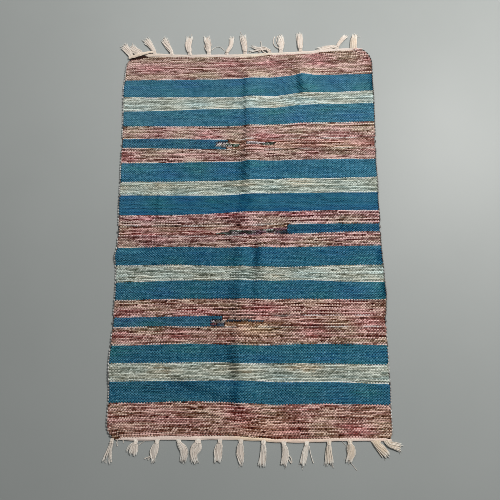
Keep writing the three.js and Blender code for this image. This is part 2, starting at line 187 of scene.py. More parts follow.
# The three short blue stripes: in each of their picks, which yarn runs from where to where.
# Where a stripe stops, its yarns are darned in and trail off along the next picks.
SHORT_STRIPES = {
    "short1": [
        [("blue", -400, -46), ("rose", -46, 400)],
        [("blue", -400, -70), ("slate", -70, -47), ("rose", -47, 400)],
        [("blue", -400, -78), ("slate", -78, -70), ("mist", -70, -60), ("ash", -60, -44), ("rose", -44, -3), ("mist", -3, 42), ("fern", 42, 66), ("rose", 66, 400)],
        [("blue", -400, -74), ("ash", -74, -50), ("fern", -50, -18), ("rose", -18, -3), ("ash", -3, 30), ("fern", 36, 62), ("rose", 62, 400)],
        [("blue", -400, -78), ("ash", -78, -48), ("mist", -48, -36), ("fern", -36, -22), ("rose", -22, 400)],
        [("blue", -400, -62), ("slate", -62, -50), ("rose", -50, 400)],
        [("blue", -400, -50), ("rose", -50, 400)],
    ],
    "short2": [
        [("rose", -400, 91), ("blue", 91, 400)],
        [("rose", -400, 90), ("blue", 90, 400)],
        [("rose", -400, 46), ("plum", 46, 90), ("blue", 90, 400)],
        [("rose", -400, -44), ("fern", -44, -12), ("ash", -12, 14), ("plum", 14, 32), ("fern", 32, 62), ("plum", 62, 88), ("blue", 88, 400)],
        [("rose", -400, -62), ("ash", -62, -30), ("fern", -30, 4), ("ash", 4, 22), ("plum", 22, 42), ("fern", 42, 58), ("ash", 58, 78), ("slate", 78, 89), ("blue", 89, 400)],
        [("rose", -400, -74), ("fern", -74, -40), ("ash", -40, -6), ("fern", -6, 14), ("plum", 14, 40), ("ash", 40, 66), ("slate", 66, 90), ("blue", 90, 400)],
        [("rose", -400, -54), ("ash", -54, -20), ("plum", -20, 30), ("rose", 30, 60), ("plum", 60, 74), ("slate", 74, 92), ("blue", 92, 400)],
    ],
    "short3": [
        [("blue", -400, -57), ("rose", -57, 400)],
        [("blue", -400, -58), ("rose", -58, 400)],
        [("blue", -400, -80), ("slate", -80, -58), ("rose", -58, -46), ("ash", -46, -28), ("rose", -28, -16), ("ash", -16, 6), ("rose", 6, 400)],
        [("blue", -400, -82), ("mist", -82, -73), ("ash", -73, -48), ("slate", -48, -14), ("ash", -14, -2), ("slate", -2, 34), ("rose", 34, 400)],
        [("blue", -400, -80), ("ash", -80, -52), ("tan", -52, 10), ("rose", 10, 400)],
        [("blue", -400, -82), ("plum", -82, -70), ("slate", -70, -52), ("tan", -52, 30), ("rose", 30, 400)],
        [("blue", -400, -80), ("slate", -80, -53), ("tan", -53, 44), ("rose", 44, 400)],
    ],
}

# Places where the weft's colour runs browner or redder, lighter or darker than elsewhere, from its own
# dyeing and, where marked, from painted shade: middle, half sizes, red (towards 1) or tan (towards -1),
# dark (positive) or pale (negative), and how golden.
DYE_AND_SHADE_PATCHES = [
    dict(x=10, y=-224, rx=50, ry=15, red=-0.6, dark=0.04, gold=0.4),
    dict(x=25, y=-428, rx=60, ry=22, red=0.35, dark=0.06, gold=0.3),
    dict(x=45, y=415, rx=45, ry=25, red=0.1, dark=0.16),
    dict(x=-20, y=-175, rx=40, ry=14, red=0.1, dark=0.2),
    dict(x=-185, y=241, rx=80, ry=12, red=0.1, dark=-0.2),
    # lighter towards both selvedges; painted shade along the middle fold and its left flank
    dict(x=-300, y=170, rx=75, ry=330, red=0.0, dark=-0.13),
    dict(x=300, y=-40, rx=70, ry=330, red=0.0, dark=-0.08),
    dict(x=-60, y=-20, rx=34, ry=380, red=0.0, dark=0.06),
    dict(x=0, y=66, rx=8, ry=14, red=0.0, dark=0.26),
    # painted shade where the right selvedge turns down
    dict(x=300, y=356, rx=9, ry=22, red=0.0, dark=1.0),
    dict(x=296, y=408, rx=10, ry=20, red=0.0, dark=0.8),
    dict(x=297, y=221, rx=6, ry=22, red=0.1, dark=0.5),
    dict(x=301, y=66, rx=7, ry=18, red=0.0, dark=0.6),
    dict(x=299, y=-62, rx=10, ry=18, red=0.0, dark=1.0),
    dict(x=300, y=-134, rx=9, ry=18, red=0.0, dark=1.0),
    dict(x=298, y=-190, rx=6, ry=26, red=0.1, dark=0.8),
]

# ---------------------------------------------------------------------------
# Yarn colours, in display values (0 to 255). Each weft is two soft strands side by side, spun
# from mixed waste: level is how light it is on the whole, spread how far its runs of lighter
# and darker fibre go, runs their length in floats, split the difference between its two
# strands, twist and fleck that from float to float. Each tint is red over green, then green
# over blue.
# ---------------------------------------------------------------------------

YARNS = {
    "rose": dict(level=150, spread=74, runs=8, split=22, twist=24, fleck=27, low=14, high=206,
                 tints=[(20, 20), (27, 16), (34, 10), (41, 6), (55, 3)]),
    "sage": dict(level=176, spread=51, runs=7.5, split=16, twist=15, fleck=19, low=44, high=220,
                 tints=[(6, 20), (-5, 14), (-9, 11), (-13, 9), (-20, 4)]),
    "blue": dict(level=108, spread=11, runs=16, split=4, twist=5, fleck=12, low=30, high=170,
                 tints=[(-60, -12), (-57, -20), (-56, -24), (-56, -27), (-54, -35)]),
    "ash": dict(level=156, spread=70, runs=2, split=16, twist=14, fleck=22, low=26, high=220,
                tints=[(-4, 8), (2, 2), (8, -4)]),
    "fern": dict(level=132, spread=76, runs=2, split=16, twist=14, fleck=20, low=22, high=205,
                 tints=[(-24, 14), (-15, 8), (-8, 5)]),
    "plum": dict(level=128, spread=60, runs=3, split=16, twist=10, fleck=14, low=24, high=190,
                 tints=[(44, -4), (30, -10), (14, -10)]),
    "mist": dict(level=200, spread=30, runs=4, split=10, twist=6, fleck=10, low=110, high=226,
                 tints=[(0, -8), (4, -4)]),
    "slate": dict(level=80, spread=40, runs=4, split=8, twist=8, fleck=10, low=18, high=165,
                  tints=[(-26, -18), (-9, -7)]),
    "tan": dict(level=170, spread=78, runs=7, split=22, twist=26, fleck=27, low=24, high=212,
                tints=[(23, 26), (25, 22), (30, 17)]),
}


# How each kind of weft lies: rise and fall about the warp, half width as a share of the pick
# spacing, half thickness, how far its twist makes the floats lean, how much painted shade darkens its
# sides and dips against its crowns, and how much more painted shade the dips get where it is open.
LIES = {
    "firm": dict(swing=0.92, wide=0.84, thick=0.98, lean=1.1, side=20, dip=22, hatch=4),
    "darned": dict(swing=0.90, wide=0.78, thick=0.95, lean=1.1, side=40, dip=58, hatch=8),
    "loose": dict(swing=0.45, wide=0.70, thick=0.85, lean=1.0, side=4, dip=12, hatch=46),
    "soft": dict(swing=0.42, wide=0.70, thick=0.85, lean=1.0, side=4, dip=5, hatch=28),
}
# painted shade on the underside of each weft
UNDERSIDE_SHADE = 45


def lie_of(yarn):
    if yarn in ("blue", "slate"):
        return LIES["firm"]
    if yarn in ("ash", "fern", "plum"):
        return LIES["darned"]
    return LIES["soft" if yarn == "sage" else "loose"]


def linear(rgb):
    c = np.asarray(rgb, float) / 255.0
    return np.where(c <= 0.04045, c / 12.92, ((c + 0.055) / 1.055) ** 2.4)


def smooth(t):
    t = np.clip(t, 0.0, 1.0)
    return t * t * (3.0 - 2.0 * t)


def along(table, key, column, at):
    """One column of a table as a smooth function of its key."""
    k = np.array([row[key] for row in table], float)
    v = np.array([row[column] for row in table], float)
    order = np.argsort(k)
    k, v = k[order], v[order]
    i = np.clip(np.searchsorted(k, at) - 1, 0, len(k) - 2)
    return v[i] + (v[i + 1] - v[i]) * smooth((at - k[i]) / (k[i + 1] - k[i]))


def curve_through(stations, heights, at):
    """A smooth curve through a few heights, straight beyond the first and the last."""
    s, h = np.array(stations, float), np.array(heights, float)
    slope = np.gradient(h, s)
    i = np.clip(np.searchsorted(s, at) - 1, 0, len(s) - 2)
    w = s[i + 1] - s[i]
    t = np.clip((at - s[i]) / w, 0.0, 1.0)
    return (
        (2 * t**3 - 3 * t**2 + 1) * h[i]
        + (t**3 - 2 * t**2 + t) * w * slope[i]
        + (3 * t**2 - 2 * t**3) * h[i + 1]
        + (t**3 - t**2) * w * slope[i + 1]
    )


def waves(x, y, seed, wavelength, count=9):
    """A smooth uneven field of about unit height."""
    rng = np.random.default_rng(seed)
    total = 0.0
    for _ in range(count):
        a = rng.uniform(0, 2 * math.pi)
        k = 2 * math.pi / (wavelength * rng.uniform(0.7, 1.5))
        total = total + np.sin(k * (x * math.cos(a) + y * math.sin(a)) + rng.uniform(0, 6.28))
    return total / math.sqrt(count / 2)


def beside_crease(c, x, y):
    """The crease's height (0 to 1) at x, y, and how far into its steep flank that is (0 to 1)."""
    x, y = np.asarray(x, float), np.asarray(y, float)
    points = np.array(c["line"], float)
    upright = abs(points[-1, 1] - points[0, 1]) > abs(points[-1, 0] - points[0, 0])
    run, rise = (1, 0) if upright else (0, 1)
    order = np.argsort(points[:, run])
    points = points[order]
    along_it, off_it = (y, x) if upright else (x, y)
    lean = np.interp(along_it, points[:, run], points[:, rise])
    tilt = (points[-1, rise] - points[0, rise]) / (points[-1, run] - points[0, run])
    d = (off_it - lean) / math.hypot(1.0, tilt)
    flank = np.where(d < 0, 1 - smooth(-d / c["near"]), 1 - smooth(d / c["far"]))
    fade = smooth((along_it - points[0, run]) / CREASE_TAIL + 0.5) * smooth((points[-1, run] - along_it) / CREASE_TAIL + 0.5)
    steep = np.exp(-(((d + 0.5 * c["near"]) / (0.42 * c["near"])) ** 2))
    return flank * fade, steep * fade


def lift(x, y):
    """Height of the cloth's underside above the floor."""
    x, y = np.asarray(x, float), np.asarray(y, float)
    best = np.zeros(np.broadcast(x, y).shape)
    for f in FOLDS:
        dx, dy = f["x2"] - f["x1"], f["y2"] - f["y1"]
        length = math.hypot(dx, dy)
        s = ((x - f["x1"]) * dx + (y - f["y1"]) * dy) / length
        d = ((x - f["x1"]) * dy - (y - f["y1"]) * dx) / length
        if abs(dy) > abs(dx):
            d = -d if dy < 0 else d
        else:
            d = -d if dx > 0 else d
        flank = np.where(d < 0, 1 - smooth(-d / f["near"]), 1 - smooth(d / f["far"]))
        fade = smooth(s / FOLD_TAIL + 0.5) * smooth((length - s) / FOLD_TAIL + 0.5)
        best = np.maximum(best, f["rise"] * flank * fade)
    for c in CREASES:
        best = best + c["rise"] * beside_crease(c, x, y)[0]
    uneven = 0.45 * (1 + waves(x, y, 5, 90.0)) + 0.25 * (1 + waves(x, y, 6, 38.0))
    return best + np.clip(uneven, 0.0, None) * 0.8


def crease_shade(x, y):
    """Painted shade: how much darker the weft is coloured along the steep flanks of the creases."""
    total = np.zeros(np.broadcast(x, y).shape)
    for c in CREASES:
        total = total + c["dark"] * beside_crease(c, x, y)[1]
    return total


def far_end(x):
    """The far heading's outer edge."""
    return along(ENDS, "x", "top", x)


def near_end(x):
    return along(ENDS, "x", "bottom", x)


def change(name, x):
    if name == "far_end":
        return far_end(x) - along(ENDS, "x", "headTop", x) + 0.4
    if name == "near_end":
        return near_end(x) + along(ENDS, "x", "headBottom", x) - 0.4
    return curve_through(STATIONS, CHANGES[name], x)


def worn_round(corner, y):
    """How far in the edge has moved at a worn corner."""
    towards = math.copysign(1.0, corner["end"])
    past = np.clip(corner["radius"] - (corner["end"] - y) * towards, 0, corner["radius"] - 0.6)
    return corner["radius"] - np.sqrt(corner["radius"] ** 2 - past**2)


def selvedges(y):
    left = along(SELVEDGES, "y", "left", y) + LOOP_ROOM + worn_round(NEAR_LEFT_ROUND, y)
    right = along(SELVEDGES, "y", "right", y) - LOOP_ROOM - worn_round(FAR_RIGHT_ROUND, y)
    return left, right


def across(x, y):
    """Where a warp end at x of the flat width lies at height y along the rug."""
    left, right = selvedges(y)
    return left + (right - left) * (x + WIDTH / 2) / WIDTH + 0.4 * waves(x, y, 11, 70.0)


def metres(points):
    p = np.array(points, float)
    p[..., 0] += SHIFT_X
    p[..., 1] += SHIFT_Y
    return p / 1000.0


# ---------------------------------------------------------------------------
# Meshes from arrays
# ---------------------------------------------------------------------------


class Builder:
    """Collects tubes and sheets as arrays, then makes one mesh object of them."""

    def __init__(self):
        self.points, self.colours, self.corners, self.sizes, self.uvs = [], [], [], [], []
        self.count = 0

    def add(self, points, colours, faces, uvs):
        """faces: an array of rows of point numbers; uvs: the same rows of (u, v)."""
        self.corners.append((faces + self.count).ravel())
        self.sizes.append(np.full(len(faces), faces.shape[1]))
        self.uvs.append(uvs.reshape(-1, 2))
        if points is not None:
            self.points.append(points)
            self.colours.append(colours)

    def close(self, points):
        self.count += len(points)

    def tube(self, rings, colours, uv_of_ring, v_low, v_high):
        """rings: (n, sides, 3) points, going right-handed round the way of travel. colours: (n, sides, 3).
        uv_of_ring: u at each ring; the sides are spread between v_low and v_high, each (n,)."""
        n, sides, _ = rings.shape
        i = np.arange(n - 1)[:, None]
        s = np.arange(sides)[None, :]
        t = (s + 1) % sides
        faces = np.stack([i * sides + s, i * sides + t, (i + 1) * sides + t, (i + 1) * sides + s], -1).reshape(-1, 4)
        u0, u1 = uv_of_ring[:-1, None], uv_of_ring[1:, None]
        step = (v_high - v_low)[:-1, None] / sides
        low = v_low[:-1, None]
        one = np.ones((n - 1, sides))
        uv = np.stack(
            [
                np.stack([u0 * one, low + s * step], -1),
                np.stack([u0 * one, low + (s + 1) * step], -1),
                np.stack([u1 * one, low + (s + 1) * step], -1),
                np.stack([u1 * one, low + s * step], -1),
            ],
            2,
        ).reshape(-1, 4, 2)
        points = rings.reshape(-1, 3)
        self.add(points, colours.reshape(-1, 3), faces, uv)
        ring = np.arange(sides)
        for face, k in ((ring[::-1][None, :], 0), (((n - 1) * sides + ring)[None, :], n - 2)):
            spot = np.tile([[uv_of_ring[k], v_low[k]]], (sides, 1))
            spot = spot + 0.0004 * np.stack([np.cos(ring), np.sin(ring)], 1)
            self.add(None, None, face, spot[None])
        self.close(points)

    def sheet(self, grid_top, grid_bottom, colour):
        """A closed thin sheet from two grids of points, each (rows, columns, 3), and its colours."""
        r, c, _ = grid_top.shape
        points = np.concatenate([grid_top.reshape(-1, 3), grid_bottom.reshape(-1, 3)])
        colours = np.tile(colour.reshape(-1, 3), (2, 1))
        a = (np.arange(r - 1)[:, None] * c + np.arange(c - 1)[None, :]).ravel()
        top = np.stack([a, a + c, a + c + 1, a + 1], 1)
        low = top[:, ::-1] + r * c
        spots = np.stack(np.meshgrid(np.linspace(0, 1, c), np.linspace(0, 1, r)), -1).reshape(-1, 2)
        half = np.array([0.48, 0.96])
        uv_top = spots[top] * half + 0.01
        uv_low = spots[low - r * c] * half + np.array([0.51, 0.01])
        rim = np.concatenate(
            [np.arange(c), np.arange(1, r) * c + c - 1, (r - 1) * c + np.arange(c - 2, -1, -1), np.arange(r - 2, 0, -1) * c]
        )
        nxt = np.roll(rim, -1)
        side = np.stack([rim, nxt, nxt + r * c, rim + r * c], 1)
        t0 = np.arange(len(rim)) / len(rim) * 0.96 + 0.01
        t1 = t0 + 0.96 / len(rim)
        uv_side = np.stack(
            [np.stack([t0, t0 * 0 + 0.98], 1), np.stack([t1, t0 * 0 + 0.98], 1),
             np.stack([t1, t0 * 0 + 0.99], 1), np.stack([t0, t0 * 0 + 0.99], 1)], 1)
        self.add(points, colours, top, uv_top)
        self.add(None, None, low, uv_low)
        self.add(None, None, side, uv_side)
        self.close(points)

    def make(self, name, material):
        mesh = bpy.data.meshes.new(name)
        points = metres(np.concatenate(self.points))
        colours = np.concatenate(self.colours)
        corners = np.concatenate(self.corners).astype(np.int32)
        sizes = np.concatenate(self.sizes)
        uvs = np.concatenate(self.uvs)
        mesh.vertices.add(len(points))
        mesh.vertices.foreach_set("co", points.astype(np.float32).ravel())
        mesh.loops.add(len(corners))
        mesh.loops.foreach_set("vertex_index", corners)
        mesh.polygons.add(len(sizes))
        starts = np.concatenate([[0], np.cumsum(sizes)[:-1]]).astype(np.int32)
        mesh.polygons.foreach_set("loop_start", starts)
        mesh.polygons.foreach_set("use_smooth", np.ones(len(sizes), bool))
        mesh.update(calc_edges=True)
        layer = mesh.uv_layers.new(name="OFBake")
        layer.data.foreach_set("uv", np.clip(uvs, 0, 1).astype(np.float32).ravel())
        tint = mesh.color_attributes.new("Yarn", "FLOAT_COLOR", "POINT")
        rgba = np.concatenate([colours, np.ones((len(colours), 1))], 1).astype(np.float32)
        tint.data.foreach_set("color", rgba.ravel())
        mesh.materials.append(material)
        ob = bpy.data.objects.new(name, mesh)
        bpy.context.scene.collection.objects.link(ob)
        return ob


# ---------------------------------------------------------------------------
# Materials
# ---------------------------------------------------------------------------


def yarn_material(name, fibre_scale, fibre_depth, bump_mm, sheen):
    """Cotton yarn: its vertex colour, dye with painted shade, with fibre streaks, slight fading and a soft nap."""
    mat = bpy.data.materials.new(name)
    mat.use_nodes = True
    tree = mat.node_tree
    nodes, links = tree.nodes, tree.links
    nodes.clear()
    out = nodes.new("ShaderNodeOutputMaterial")
    bsdf = nodes.new("ShaderNodeBsdfPrincipled")
    bsdf.inputs["Specular IOR Level"].default_value = 0.06
    bsdf.inputs["Sheen Weight"].default_value = sheen
    bsdf.inputs["Sheen Roughness"].default_value = 0.55
    links.new(bsdf.outputs[0], out.inputs[0])

    dye_and_shade = nodes.new("ShaderNodeAttribute")
    dye_and_shade.attribute_name = "Yarn"
    place = nodes.new("ShaderNodeTexCoord")
    fibre = nodes.new("ShaderNodeTexNoise")
    fibre.inputs["Scale"].default_value = fibre_scale
    fibre.inputs["Detail"].default_value = 3.0
    fibre.inputs["Roughness"].default_value = 0.65
    links.new(place.outputs["Object"], fibre.inputs["Vector"])
    fade = nodes.new("ShaderNodeTexNoise")
    fade.inputs["Scale"].default_value = 9.0
    fade.inputs["Detail"].default_value = 4.0
    links.new(place.outputs["Object"], fade.inputs["Vector"])

    streak = nodes.new("ShaderNodeMapRange")
    streak.inputs["From Min"].default_value = 0.25
    streak.inputs["From Max"].default_value = 0.75
    streak.inputs["To Min"].default_value = 1.0 - fibre_depth
    streak.inputs["To Max"].default_value = 1.0 + fibre_depth
    links.new(fibre.outputs["Fac"], streak.inputs["Value"])
    worn = nodes.new("ShaderNodeMapRange")
    worn.inputs["From Min"].default_value = 0.3
    worn.inputs["From Max"].default_value = 0.7
    worn.inputs["To Min"].default_value = 0.95
    worn.inputs["To Max"].default_value = 1.05
    links.new(fade.outputs["Fac"], worn.inputs["Value"])
    both = nodes.new("ShaderNodeMath")
    both.operation = "MULTIPLY"
    links.new(streak.outputs[0], both.inputs[0])
    links.new(worn.outputs[0], both.inputs[1])
    tinted = nodes.new("ShaderNodeVectorMath")
    tinted.operation = "SCALE"
    links.new(dye_and_shade.outputs["Color"], tinted.inputs[0])
    links.new(both.outputs[0], tinted.inputs["Scale"])
    links.new(tinted.outputs[0], bsdf.inputs["Base Color"])

    dull = nodes.new("ShaderNodeMapRange")
    dull.inputs["To Min"].default_value = 0.62
    dull.inputs["To Max"].default_value = 0.82
    links.new(fibre.outputs["Fac"], dull.inputs["Value"])
    links.new(dull.outputs[0], bsdf.inputs["Roughness"])
    bump = nodes.new("ShaderNodeBump")
    bump.inputs["Strength"].default_value = 0.5
    bump.inputs["Distance"].default_value = bump_mm / 1000.0
    links.new(fibre.outputs["Fac"], bump.inputs["Height"])
    links.new(bump.outputs[0], bsdf.inputs["Normal"])
    return mat


weft_cotton = yarn_material("weft_cotton", 1100.0, 0.14, 0.25, 0.02)
warp_cotton = yarn_material("warp_cotton", 1300.0, 0.12, 0.25, 0.06)

# ---------------------------------------------------------------------------
# Colour along a yarn
# ---------------------------------------------------------------------------

EDGE_PALE = 22.0  # how much lighter the picks beside a blue band are
END_DARK = {"far_end": 22.0, "near_end": 36.0}  # how much darker the picks beaten up against a heading are
LOOP_DARK = 26.0  # the turns at the selvedges are coloured darker


def drift(rng, n, reach):
    """A smooth random line of n steps in -1..1 that changes over about reach steps."""
    knots = max(4, int(n / reach) + 4)
    values = rng.uniform(-1, 1, knots)
    at = np.linspace(1, knots - 3, n)
    i = at.astype(int)
    t = at - i
    a, b, c, d = values[i - 1], values[i], values[i + 1], values[i + 2]
    return np.clip(b + 0.5 * t * (c - a + t * (2 * a - 5 * b + 4 * c - d + t * (3 * (b - c) + d - a))), -1, 1)


def runs_of(rng, n, length):
    """n steps in -1..1 that stay even for runs of about the given length, many of them short and
    some long, with soft joins."""
    line = np.empty(0)
    while len(line) < n + 2:
        long = max(1, int(round(length * (0.12 + (0.55 if rng.random() < 0.75 else 2.0) * rng.exponential(0.85)))))
        line = np.concatenate([line, np.full(long, rng.uniform(-1, 1))])
    start = rng.integers(0, len(line) - n - 1)
    line = line[start:start + n + 2]
    return 0.2 * line[:-2] + 0.6 * line[1:-1] + 0.2 * line[2:]


def patched(x, y):
    """Redness, darkness (dye and painted shade) and gold added by the patches."""
    red, dark, gold = np.zeros(len(x)), np.zeros(len(x)), np.zeros(len(x))
    for p in DYE_AND_SHADE_PATCHES:
        near = np.exp(-(((x - p["x"]) / p["rx"]) ** 2 + ((y - p["y"]) / p["ry"]) ** 2))
        red += p["red"] * near
        dark += p["dark"] * near
        gold += p.get("gold", 0.0) * near
    return red, dark, np.clip(gold, 0, 1)


def dyed_and_shaded(rng, yarn, x, y, line, band, edging=0.0):
    """Display colour of each float of one pick, at the four corners of its section: far side,
    crown, near side, underside. line is how light the pick runs, from about -1.4 to 1.4."""
    t = YARNS[yarn]
    n = len(x)
    red, dark, gold = patched(x, y)
    edging = np.full(n, 1.0) * edging
    turn = np.cumsum(2.6 + 0.5 * drift(rng, n, 20)) + rng.uniform(0, 6.28)
    marl = t["spread"] * (line + 0.12 * waves(x, 2.5 * y, 31, 90.0)) + rng.normal(0, t["fleck"], n) + t["twist"] * np.cos(turn)
    # darker by the painted shade on the crease flanks, and by the patches' dye and painted shade
    level = t["level"] + band["tone"] + band["contrast"] * marl - crease_shade(x, y) - 60 * dark + edging
    split = band["contrast"] * t["split"] * runs_of(rng, n, t["runs"])
    light = np.stack([level + split, level + 0.4 * split * rng.choice([-1.0, 1.0], n), level - split, level], 1)
    light = np.clip(light, t["low"], t["high"])
    hue = 0.34 * waves(x, 3.0 * y, 33, 120.0) + 0.42 * runs_of(rng, n, 1.4 * t["runs"]) + red
    tints = np.array(t["tints"], float)
    at = np.clip((hue + 1) / 2, 0, 0.9999) * (len(tints) - 1)
    i = at.astype(int)
    part = (at - i)[:, None]
    tint = tints[i] * (1 - part) + tints[np.minimum(i + 1, len(tints) - 1)] * part + np.array(band["cast"], float)
    tint = tint * np.clip(1 - np.maximum(edging, 0.0) / 75.0, 0.35, 1.0).reshape(-1, 1)
    tint = tint * (1 - gold)[:, None] + np.array([35.0, 36.0]) * gold[:, None]
    deeper = 1.0 + 0.35 * np.clip(1 - light / t["level"], 0, 1)  # dark fibre keeps its colour
    red_green, green_blue = tint[:, 0:1] * deeper, tint[:, 1:2] * deeper
    r = light + (2 * red_green + green_blue) / 3
    return np.stack([r, r - red_green, r - red_green - green_blue], 2)


def shaded(colour, up, lie, hatch):
    """Linear colour round the section with painted shade: darker on the sides, in the dips (more so
    where hatch is near 1) and underneath."""
    down = np.array([lie["side"], 0.0, lie["side"], UNDERSIDE_SHADE])[None, :] + np.where(up > 0, 0.0, lie["dip"] + lie["hatch"] * hatch)[:, None]
    return linear(np.clip(colour - down[:, :, None], 3.0, 250.0))


# ---------------------------------------------------------------------------
# Weft
# ---------------------------------------------------------------------------


def float_rings(parity):
    """Ring places along a pick: two on each float over the warp, one where it dips under."""
    x, up, bead = [], [], []
    for j in range(WARP_ENDS):
        at = -WIDTH / 2 + WARP_STEP * (j + 0.5)
        if (j + parity) % 2 == 0:
            x += [at - CROWN_HALF_LONG, at + CROWN_HALF_LONG]
            up += [1.0, 1.0]
            bead += [j, j]
        else:
            x += [at]
            up += [-1.0]
            bead += [j]
    return np.array(x), np.array(up), np.array(bead)


RINGS = [float_rings(0), float_rings(1)]
WARP_STRAY = np.random.default_rng(77).normal(0, 0.34, WARP_ENDS)  # the warp is not quite even
rng = np.random.default_rng(2024)
builders = {}
slots_used = {}
slots_total = {}


def piece_of(band, yarn):
    if yarn == "blue" and band["weft"].startswith("short"):
        return "weft_blue_far" if band["weft"] != "short3" else "weft_blue_near"
    return band["piece"]


for band in BANDS:
    for k in range(band["picks"]):
        if band["weft"] in SHORT_STRIPES:
            for p in sorted({piece_of(band, run[0]) for run in SHORT_STRIPES[band["weft"]][k]}):
                slots_total[p] = slots_total.get(p, 0) + 1
        else:
            slots_total[band["piece"]] = slots_total.get(band["piece"], 0) + 1


def weft_tube(piece, path, half_wide, half_thick, colour, slot, lean):
    """path: (n, 3); colour: (n, 4, 3) round the section; slot: (n,) the row of the texture each ring
    lies in; lean: (n,) how far the twist of the yarn carries its two sides apart lengthwise."""
    way = np.gradient(path[:, :2], axis=0)
    way /= np.linalg.norm(way, axis=1)[:, None] + 1e-9
    side = np.stack([-way[:, 1], way[:, 0], 0 * way[:, 0]], 1)
    up = np.array([0.0, 0.0, 1.0])
    w, h = half_wide[:, None], half_thick[:, None]
    aside = side * w + np.stack([way[:, 0], way[:, 1], 0 * way[:, 0]], 1) * lean[:, None]
    rings = np.stack([path + aside - up * 0.12 * h, path + up * h, path - aside - up * 0.12 * h, path - up * h], 1)
    b = builders.setdefault(piece, Builder())
    total = slots_total[piece]
    u = np.clip((path[:, 0] + 310.0) / 620.0, 0.002, 0.998)
    low = (slot + 0.12) / total
    high = (slot + 0.88) / total
    b.tube(rings, colour, u, low, high)


